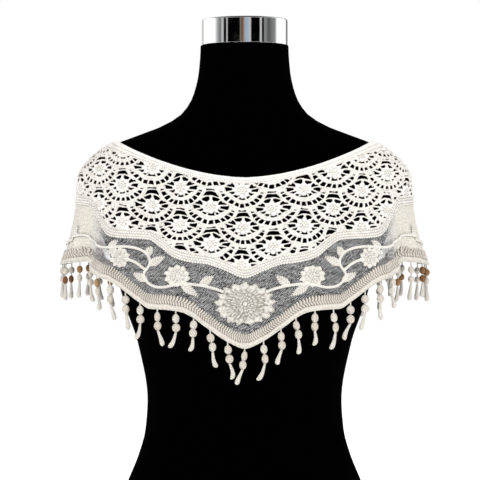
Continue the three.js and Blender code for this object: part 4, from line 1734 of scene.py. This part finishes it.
def yarn_group() -> bpy.types.NodeTree:
    """The shared surface of spun thread, built once.

    Returns:
        A group that takes a vector and a pitch in metres, and gives a bump height and a soft shade.
    """
    known = bpy.data.node_groups.get("spun_thread")
    if known:
        return known
    group = bpy.data.node_groups.new("spun_thread", "ShaderNodeTree")
    for name, kind, way in (
        ("Vector", "NodeSocketVector", "INPUT"),
        ("Pitch", "NodeSocketFloat", "INPUT"),
        ("Height", "NodeSocketFloat", "OUTPUT"),
        ("Shade", "NodeSocketFloat", "OUTPUT"),
    ):
        group.interface.new_socket(name, in_out=way, socket_type=kind)
    nodes = Nodes(group)
    inlet = nodes.add("NodeGroupInput").outputs
    scaled = nodes.vector("SCALE", {0: inlet["Vector"], "Scale": nodes.math("DIVIDE", 1.0, inlet["Pitch"])})
    ply = nodes.add(
        "ShaderNodeTexWave",
        {"Vector": scaled, "Scale": 0.32, "Distortion": 2.4, "Detail": 1.0, "Detail Scale": 1.6},
        bands_direction="DIAGONAL",
    ).outputs["Fac"]
    fuzz = nodes.noise(scaled, 1.3, 4.0)
    fuzz.node.inputs["Roughness"].default_value = 0.6
    broad = nodes.noise(scaled, 0.06, 2.0)
    height = nodes.math("ADD", nodes.math("MULTIPLY", ply, 0.6), nodes.math("MULTIPLY", fuzz, 0.6))
    shade = nodes.math("ADD", nodes.math("MULTIPLY", broad, 0.5), nodes.math("MULTIPLY", fuzz, 0.5))
    nodes.add("NodeGroupOutput", {"Height": height, "Shade": shade})
    return group


@dataclass(frozen=True)
class Finish:
    """What covers a piece, under the name of its slot."""

    slot: str

    def lay(self, nodes: Nodes) -> dict[str, object]:
        """Lays out what the shader needs.

        Args:
            nodes: The material's nodes.

        Returns:
            The inputs of its Principled shader.
        """
        raise NotImplementedError

    def build(self) -> bpy.types.Material:
        """Builds the material.

        Returns:
            The new material.
        """
        material = bpy.data.materials.new(self.slot)
        material.use_nodes = True
        material.node_tree.nodes.clear()
        nodes = Nodes(material.node_tree)
        shader = nodes.add("ShaderNodeBsdfPrincipled", self.lay(nodes))
        nodes.add("ShaderNodeOutputMaterial", {"Surface": shader.outputs[0]})
        return material


@dataclass(frozen=True)
class Thread(Finish):
    """Spun cotton with painted shade, darker between and under its stitches, and worked in close rows where
    row isn't 0.
    """

    light: Color
    # deep is painted shade: the color of thread that lies low between and under the stitches.
    deep: Color
    pitch: float = 1.0
    row: float = 0.0
    stitch: float = 0.0

    def stitches(self, nodes: Nodes, uv: Socket) -> Socket:
        """The height of rows of stitches, each row half a stitch on from the last.

        Args:
            nodes: The material's nodes.
            uv: Lengths along and across the rows, in metres.

        Returns:
            A height from 0 to 1.
        """
        parts = nodes.add("ShaderNodeSeparateXYZ", {0: uv}).outputs
        across = nodes.math("DIVIDE", parts[1], self.row * MM)
        along = nodes.math("DIVIDE", parts[0], self.stitch * MM)
        moved = nodes.math("ADD", along, nodes.math("MULTIPLY", nodes.math("FLOOR", across), 0.5))
        puff = nodes.math("COSINE", nodes.math("MULTIPLY", moved, math.tau))
        ridge = nodes.math("ABSOLUTE", nodes.math("SINE", nodes.math("MULTIPLY", across, math.pi)))
        return nodes.math("MULTIPLY", ridge, nodes.math("MULTIPLY_ADD", puff, 0.35, 0.65))

    def lay(self, nodes: Nodes) -> dict[str, object]:
        """Lays out what the shader needs.

        Args:
            nodes: The material's nodes.

        Returns:
            The inputs of its Principled shader.
        """
        uv = nodes.add("ShaderNodeUVMap", uv_map="UVMap").outputs[0]
        yarn = nodes.yarn(uv, self.pitch).outputs
        mottle = nodes.math("MULTIPLY", nodes.math("SUBTRACT", yarn["Shade"], 0.5), 0.7)
        # The relief attribute paints shade, giving the deep color where thread lies low, with the yarn's
        # random mottle added.
        shade_and_mottle = nodes.math("ADD", nodes.attribute("relief"), mottle)
        surface = yarn["Height"]
        if self.row:
            stitches = self.stitches(nodes, uv)
            # The rows' grooves get painted shade as well.
            shade_and_mottle = nodes.math("ADD", shade_and_mottle, nodes.math("MULTIPLY_ADD", stitches, 0.55, -0.3))
            surface = nodes.math("MULTIPLY_ADD", stitches, 2.0, surface)
        # A half-shaded tone between the painted shade and the lit thread.
        between = tuple(0.3 * d + 0.7 * c for d, c in zip(self.deep, self.light))
        return {
            "Base Color": nodes.ramp(shade_and_mottle, ((0.0, self.deep), (0.4, between), (1.0, self.light))),
            "Roughness": 0.85,
            "Specular IOR Level": 0.25,
            "Sheen Weight": 0.15,
            "Normal": nodes.bump(surface, 0.6, 0.0005),
        }


@dataclass(frozen=True)
class Net(Finish):
    """Fine net: round holes in a honeycomb of thin thread, which closes up where the net is gathered."""

    pitch: float = 1.8
    hole: float = -1.0  # the sum of the three waves, from -1.5 to 3, below which a hole is open
    soft: float = 0.2
    turns: tuple = (15, 75, 135)  # degrees, the ways of the three waves
    pull: float = 0.0045
    color: Color = (0.8, 0.8, 0.8)
    gathered_color: Color = (0.74, 0.7, 0.63)

    def lay(self, nodes: Nodes) -> dict[str, object]:
        """Lays out what the shader needs.

        Args:
            nodes: The material's nodes.

        Returns:
            The inputs of its Principled shader.
        """
        uv = nodes.add("ShaderNodeUVMap", uv_map="UVMap").outputs[0]
        pulling = nodes.noise(uv, 45.0, 2.0, "Color")
        pulled = nodes.vector("MULTIPLY_ADD", {0: pulling, 1: (self.pull, self.pull, 0.0), 2: uv})
        count = 4 * math.pi / math.sqrt(3) / (self.pitch * MM)
        waves = []
        for turn in map(math.radians, self.turns):
            way = (count * math.cos(turn), count * math.sin(turn), 0)
            dot = nodes.add("ShaderNodeVectorMath", {0: pulled, 1: way}, operation="DOT_PRODUCT")
            waves.append(nodes.math("COSINE", dot.outputs["Value"]))
        weave = nodes.math("ADD", nodes.math("ADD", waves[0], waves[1]), waves[2])
        thick = nodes.noise(uv, 430.0, 2.5)
        slack = nodes.vector("MULTIPLY", {0: uv, 1: (170.0, 420.0, 0.0)})
        streak = nodes.noise(slack, 0.6, 2.0)
        closer = nodes.math("MULTIPLY_ADD", streak, 0.9, nodes.math("MULTIPLY_ADD", thick, 1.25, -1.1))
        varied = nodes.math("SUBTRACT", weave, closer)
        edge = (self.hole - self.soft, self.hole + self.soft)
        thread = nodes.rescale(varied, edge, (1, 0), interpolation_type="SMOOTHSTEP")
        gathered = nodes.attribute("relief")
        closed = nodes.math("MULTIPLY", gathered, nodes.math("MULTIPLY_ADD", thick, 0.9, 0.42))
        return {
            "Base Color": nodes.mix(gathered, (*self.color, 1), (*self.gathered_color, 1)),
            "Roughness": 0.8,
            "Specular IOR Level": 0.2,
            "Alpha": nodes.math("MAXIMUM", thread, closed),
            "Normal": nodes.bump(thread, 0.4, 0.0003),
        }


@dataclass(frozen=True)
class Wound(Finish):
    """Thread wound round beads and tails, cream, with a few tan and a few red-brown ones."""

    cream: Color = (0.74, 0.7, 0.635)
    tan: Color = (0.4, 0.235, 0.095)
    brown: Color = (0.13, 0.03, 0.012)
    pitch: float = 1.5

    def lay(self, nodes: Nodes) -> dict[str, object]:
        """Lays out what the shader needs.

        Args:
            nodes: The material's nodes.

        Returns:
            The inputs of its Principled shader.
        """
        height = nodes.yarn(nodes.place(), self.pitch).outputs["Height"]
        bead_tones = ((0.0, self.cream), (0.5, self.tan), (1.0, self.brown))
        bead_tone = nodes.ramp(nodes.attribute("tint"), bead_tones)
        # Painted shade: the thread darkens where the wound turns lie low.
        shade = nodes.rescale(height, (0.25, 0.95), (0.6, 1.08))
        return {
            "Base Color": nodes.vector("SCALE", {0: bead_tone, "Scale": shade}),
            "Roughness": 0.75,
            "Specular IOR Level": 0.3,
            "Normal": nodes.bump(height, 0.7, 0.0006),
        }


@dataclass(frozen=True)
class Jersey(Finish):
    """A matte black knitted cover."""

    black: Color = (0.00025, 0.00025, 0.00028)
    wales: float = 1.3  # mm apart

    def lay(self, nodes: Nodes) -> dict[str, object]:
        """Lays out what the shader needs.

        Args:
            nodes: The material's nodes.

        Returns:
            The inputs of its Principled shader.
        """
        place = nodes.place()
        inputs = {"Vector": place, "Scale": 0.5 / (self.wales * MM) / math.pi, "Distortion": 0.6}
        wale, course = (
            nodes.add("ShaderNodeTexWave", inputs, bands_direction=way).outputs["Fac"] for way in "XZ"
        )
        lint = nodes.noise(place, 900.0, 3.0)
        knit = nodes.math("ADD", nodes.math("MULTIPLY", wale, course), lint)
        tones = [(place, [share * c for c in self.black]) for place, share in ((0, 0.6), (1, 1.6))]
        return {
            "Base Color": nodes.ramp(nodes.math("MULTIPLY", knit, 0.5), tones),
            "Roughness": 0.95,
            "Specular IOR Level": 0.004,
            "Normal": nodes.bump(knit, 0.25, 0.0003),
        }


@dataclass(frozen=True)
class PolishedMetal(Finish):
    """Mirror-polished metal, a little smeared."""

    color: Color = (0.86, 0.87, 0.88)

    def lay(self, nodes: Nodes) -> dict[str, object]:
        """Lays out what the shader needs.

        Args:
            nodes: The material's nodes.

        Returns:
            The inputs of its Principled shader.
        """
        smear = nodes.noise(nodes.place(), 60.0, 3.0)
        rough = nodes.rescale(smear, (0.3, 0.7), (0.03, 0.1))
        return {"Base Color": (*self.color, 1), "Metallic": 1.0, "Roughness": rough}


@dataclass(frozen=True)
class FloorPaint(Finish):
    """Matte white paint that glows a little, so that the floor looks as white as the air."""

    color: Color = (0.9, 0.9, 0.9)
    glow: float = 0.64

    def lay(self, nodes: Nodes) -> dict[str, object]:
        """Lays out what the shader needs.

        Args:
            nodes: The material's nodes.

        Returns:
            The inputs of its Principled shader.
        """
        grain = nodes.noise(nodes.place(), 30.0, 2.0)
        return {
            "Base Color": (*self.color, 1),
            "Roughness": nodes.rescale(grain, (0, 1), (0.75, 0.9)),
            "Emission Color": (1, 1, 1, 1),
            "Emission Strength": self.glow,
        }


def build_materials() -> dict[str, bpy.types.Material]:
    """Builds every finish once.

    Returns:
        The materials by slot name.
    """
    # shadow is painted shade between stitches, used as the deep color.
    shadow = (0.3, 0.265, 0.23)
    finishes = (
        Jersey("form_cover"),
        PolishedMetal("polished_cap"),
        Thread("crochet_cotton", light=(0.93, 0.905, 0.86), deep=shadow),
        Thread("close_rows", light=(0.9, 0.875, 0.83), deep=shadow, row=2.9, stitch=3.1),
        Net("tulle"),
        # applique_cotton and hem_cotton are the crochet's cotton painted darker: painted shade on the lower
        # cloth, and on the hem partly its own warmer tone. The hem's deep color paints dark shade in its
        # gaps.
        Thread("applique_cotton", light=(0.84, 0.815, 0.765), deep=(0.3, 0.27, 0.23), pitch=0.9),
        Thread("hem_cotton", light=(0.76, 0.715, 0.655), deep=(0.14, 0.11, 0.08), pitch=1.2),
        Wound("wound_beads"),
    )
    return {finish.slot: finish.build() for finish in finishes}


@dataclass
class Studio:
    """The floor, soft light and camera."""

    middle: Vector
    camera_z: float = 0.381
    camera_x: float = -0.0053
    distance: float = 2.6
    frame_width: float = 0.5616
    floor_size: float = 14.0
    # Each light's name, place, size and power.
    lamps: tuple = (
        ("key", (-1.0, -1.5, 2.1), 0.8, 33.0),
        ("fill", (1.5, -1.2, 1.5), 1.2, 19.0),
        ("back", (1.2, 1.9, 1.7), 1.0, 20.0),
    )
    aim: tuple = (0, 0, 0.4)
    # Over what is mirrored: the heights between which a color takes over, whether ahead, and the color.
    storeys: tuple = (
        (0.14, 0.2, True, (0.62, 0.58, 0.58, 1)),
        (0.36, 0.44, True, (0, 0, 0, 1)),
        (0.5, 0.7, False, (0.6, 0.6, 0.62, 1)),
    )
    # What polished metal mirrors: degrees round from straight ahead, and the color there.
    room: tuple = (
        (-155, 0.8, 0.8, 0.78),
        (-148, 0.35, 0.35, 0.3),
        (-140, 1.2, 1.2, 1.2),
        (-87, 1.2, 1.2, 1.2),
        (-79, 0.5, 0.5, 0.5),
        (-68, 0.16, 0.16, 0.16),
        (-62, 0.6, 0.6, 0.6),
        (-59, 0.55, 0.55, 0.55),
        (-57, 0.0, 0.0, 0.0),
        (-50.5, 0.0, 0.0, 0.0),
        (-49, 0.6, 0.6, 0.6),
        (-47, 0.6, 0.6, 0.6),
        (-45.5, 0.0, 0.0, 0.0),
        (-13, 0.0, 0.0, 0.0),
        (-10.5, 0.25, 0.24, 0.2),
        (-7, 0.1, 0.045, 0.03),
        (-2, 0.4, 0.2, 0.12),
        (1, 0.33, 0.45, 0.55),
        (11, 0.4, 0.5, 0.6),
        (15, 0.75, 0.65, 0.65),
        (18, 0.0, 0.0, 0.0),
        (40.5, 0.0, 0.0, 0.0),
        (42.5, 0.65, 0.65, 0.65),
        (46, 0.6, 0.6, 0.6),
        (47.5, 0.0, 0.0, 0.0),
        (52.5, 0.0, 0.0, 0.0),
        (55, 0.3, 0.3, 0.3),
        (67, 0.1, 0.1, 0.1),
        (90, 0.3, 0.3, 0.3),
        (97, 1.2, 1.2, 1.2),
        (143, 1.2, 1.2, 1.2),
        (150, 0.2, 0.2, 0.2),
    )

    def build_floor(self) -> None:
        """Lays a plain pale floor."""
        clear_selection()
        bpy.ops.mesh.primitive_plane_add(size=self.floor_size, location=(0, 0, 0))
        floor = bpy.context.object
        floor.name = "floor"
        floor.data.materials.append(FloorPaint("floor_paint").build())

    def build_world(self) -> None:
        """Surrounds the set with even white, and lets polished metal mirror a dim room before it."""
        world = bpy.data.worlds.new("studio")
        bpy.context.scene.world = world
        world.use_nodes = True
        world.node_tree.nodes.clear()
        nodes = Nodes(world.node_tree)
        way = nodes.add("ShaderNodeSeparateXYZ", {0: nodes.place("Generated")}).outputs
        turn = nodes.math("ARCTAN2", way[0], nodes.math("MULTIPLY", way[1], -1.0))
        spot = nodes.rescale(turn, (-math.pi, math.pi))
        room = nodes.ramp(spot, [(0.5 + degrees / 360, color) for degrees, *color in self.room])
        ahead = nodes.rescale(way[1], (0.3, -0.1))
        behind = nodes.math("SUBTRACT", 1.0, ahead)
        for low, top, is_ahead, color in self.storeys:
            above = nodes.rescale(way[2], (low, top))
            room = nodes.mix(nodes.math("MULTIPLY", above, ahead if is_ahead else behind), room, color)
        path = nodes.add("ShaderNodeLightPath").outputs
        soft, white, mirrored = (
            nodes.add("ShaderNodeBackground", {"Color": color, "Strength": strength}).outputs[0]
            for color, strength in (((1.0, 0.995, 0.985, 1), 0.4), ((1, 1, 1, 1), 1.0), (room, 1.0))
        )
        lit = nodes.add("ShaderNodeMixShader", {0: path["Is Glossy Ray"], 1: soft, 2: mirrored})
        seen = nodes.add("ShaderNodeMixShader", {0: path["Is Camera Ray"], 1: lit.outputs[0], 2: white})
        nodes.add("ShaderNodeOutputWorld", {"Surface": seen.outputs[0]})

    def build_lights(self) -> None:
        """Hangs a large soft light high on each side, stronger on the front left."""
        for name, spot, size, power in self.lamps:
            data = bpy.data.lights.new(name, "AREA")
            data.shape = "SQUARE"
            data.size = size
            data.energy = power
            lamp = bpy.data.objects.new(name, data)
            lamp.location = spot
            sight = Vector(self.aim) - Vector(spot)
            lamp.rotation_euler = sight.to_track_quat("-Z", "Y").to_euler()
            lamp.visible_glossy = False
            bpy.context.scene.collection.objects.link(lamp)

    def build_camera(self) -> None:
        """Stands the camera level in front of the form, with a long lens."""
        data = bpy.data.cameras.new("camera")
        data.sensor_width = 36.0
        data.lens = data.sensor_width * self.distance / self.frame_width
        data.clip_end = 40
        camera = bpy.data.objects.new("camera", data)
        camera.location = (self.middle.x + self.camera_x, self.middle.y - self.distance, self.camera_z)
        camera.rotation_euler = (math.pi / 2, 0, 0)
        bpy.context.scene.collection.objects.link(camera)
        bpy.context.scene.camera = camera

    def build(self) -> None:
        """Builds the set, and shows its white as white."""
        self.build_floor()
        self.build_world()
        self.build_lights()
        self.build_camera()
        bpy.context.scene.view_settings.view_transform = "Standard"


@dataclass(frozen=True)
class Cut:
    """A flat piece as worked, in metres: its width and length, and the area of its thread or net."""

    size: tuple[float, float]
    area: float


@dataclass
class Cape:
    """The whole cape, piece by piece."""

    drape: Drape
    materials: dict[str, bpy.types.Material]
    fringe: Fringe

    def dress(self, piece: bpy.types.Object, slot: str, node: str, finish: str = "") -> bpy.types.Object:
        """Gives a piece its finish, and lets it stand for its node.

        Args:
            piece: The finished piece.
            slot: The name of its material slot.
            node: The name of the node that it replaces.
            finish: The name of its finish, where that isn't the slot's own.

        Returns:
            The piece.
        """
        piece.data.materials.clear()
        piece.data.materials.append(self.materials[finish or slot])
        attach(piece, "root")
        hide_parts(node)
        LOG.info("%s: %d faces", piece.name, len(piece.data.polygons))
        return piece

    def build_half(self, half: Half) -> None:
        """Builds the front or the back of the cape.

        Args:
            half: The half to build.
        """
        cloth = ClothBuilder(self.drape)
        bands = Bands(self.drape)
        stitched = Embroidery(self.drape)
        word = half.word

        def make(
            name: str, pattern: Pattern, slot: str, node: str, kind: Placement = Placement.CLOSED
        ) -> bpy.types.Object:
            """Builds one piece of cloth and dresses it."""
            return self.dress(cloth.build(f"{name}_{word}", half, pattern, kind), slot, f"{node}_{word}")

        openwork = make("openwork", Crochet(self.drape).pattern(half), "crochet_cotton", "crochet")
        neckline = make("neckline", bands.neck(half), "crochet_cotton", "neck_band")
        border = cloth.build(f"border_{word}", half, bands.crochet(half), Placement.CLOSED)
        self.dress(border, "crochet_cotton", f"crochet_band_{word}", "close_rows")
        net = make("tulle_panel", Tulle(self.drape).pattern(half), "tulle", "net", Placement.SINGLE)
        hem = make("hem", bands.hem(half), "hem_cotton", "hem_band")
        flower = make("large_flower", stitched.centre_pattern(), "applique_cotton", "centre_bloom")
        for hand in Hand:
            names = f"trailing_vine_{hand.word}", f"vine_{hand.word}"
            make(names[0], stitched.vine_pattern(hand), "applique_cotton", names[1])
        drops = self.dress(self.fringe.build(half), "wound_beads", f"fringe_{word}")


def main() -> None:
    """Builds the form, the cape and the set, in that order."""
    logging.basicConfig(level=logging.INFO, format="%(name)s %(message)s")
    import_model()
    low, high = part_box("neck_cap")
    middle = Vector(((low.x + high.x) / 2, (low.y + high.y) / 2, 0))
    materials = build_materials()
    drape = Drape(middle=middle)
    cape = Cape(drape, materials, Fringe(drape))
    form = DressForm(middle)
    body = cape.dress(form.build_body(), "form_cover", "form")
    cape.dress(form.build_cap(), "polished_cap", "neck_cap")
    for half in Half:
        cape.build_half(half)
    Studio(middle).build()


if __name__ == "__main__":
    main()
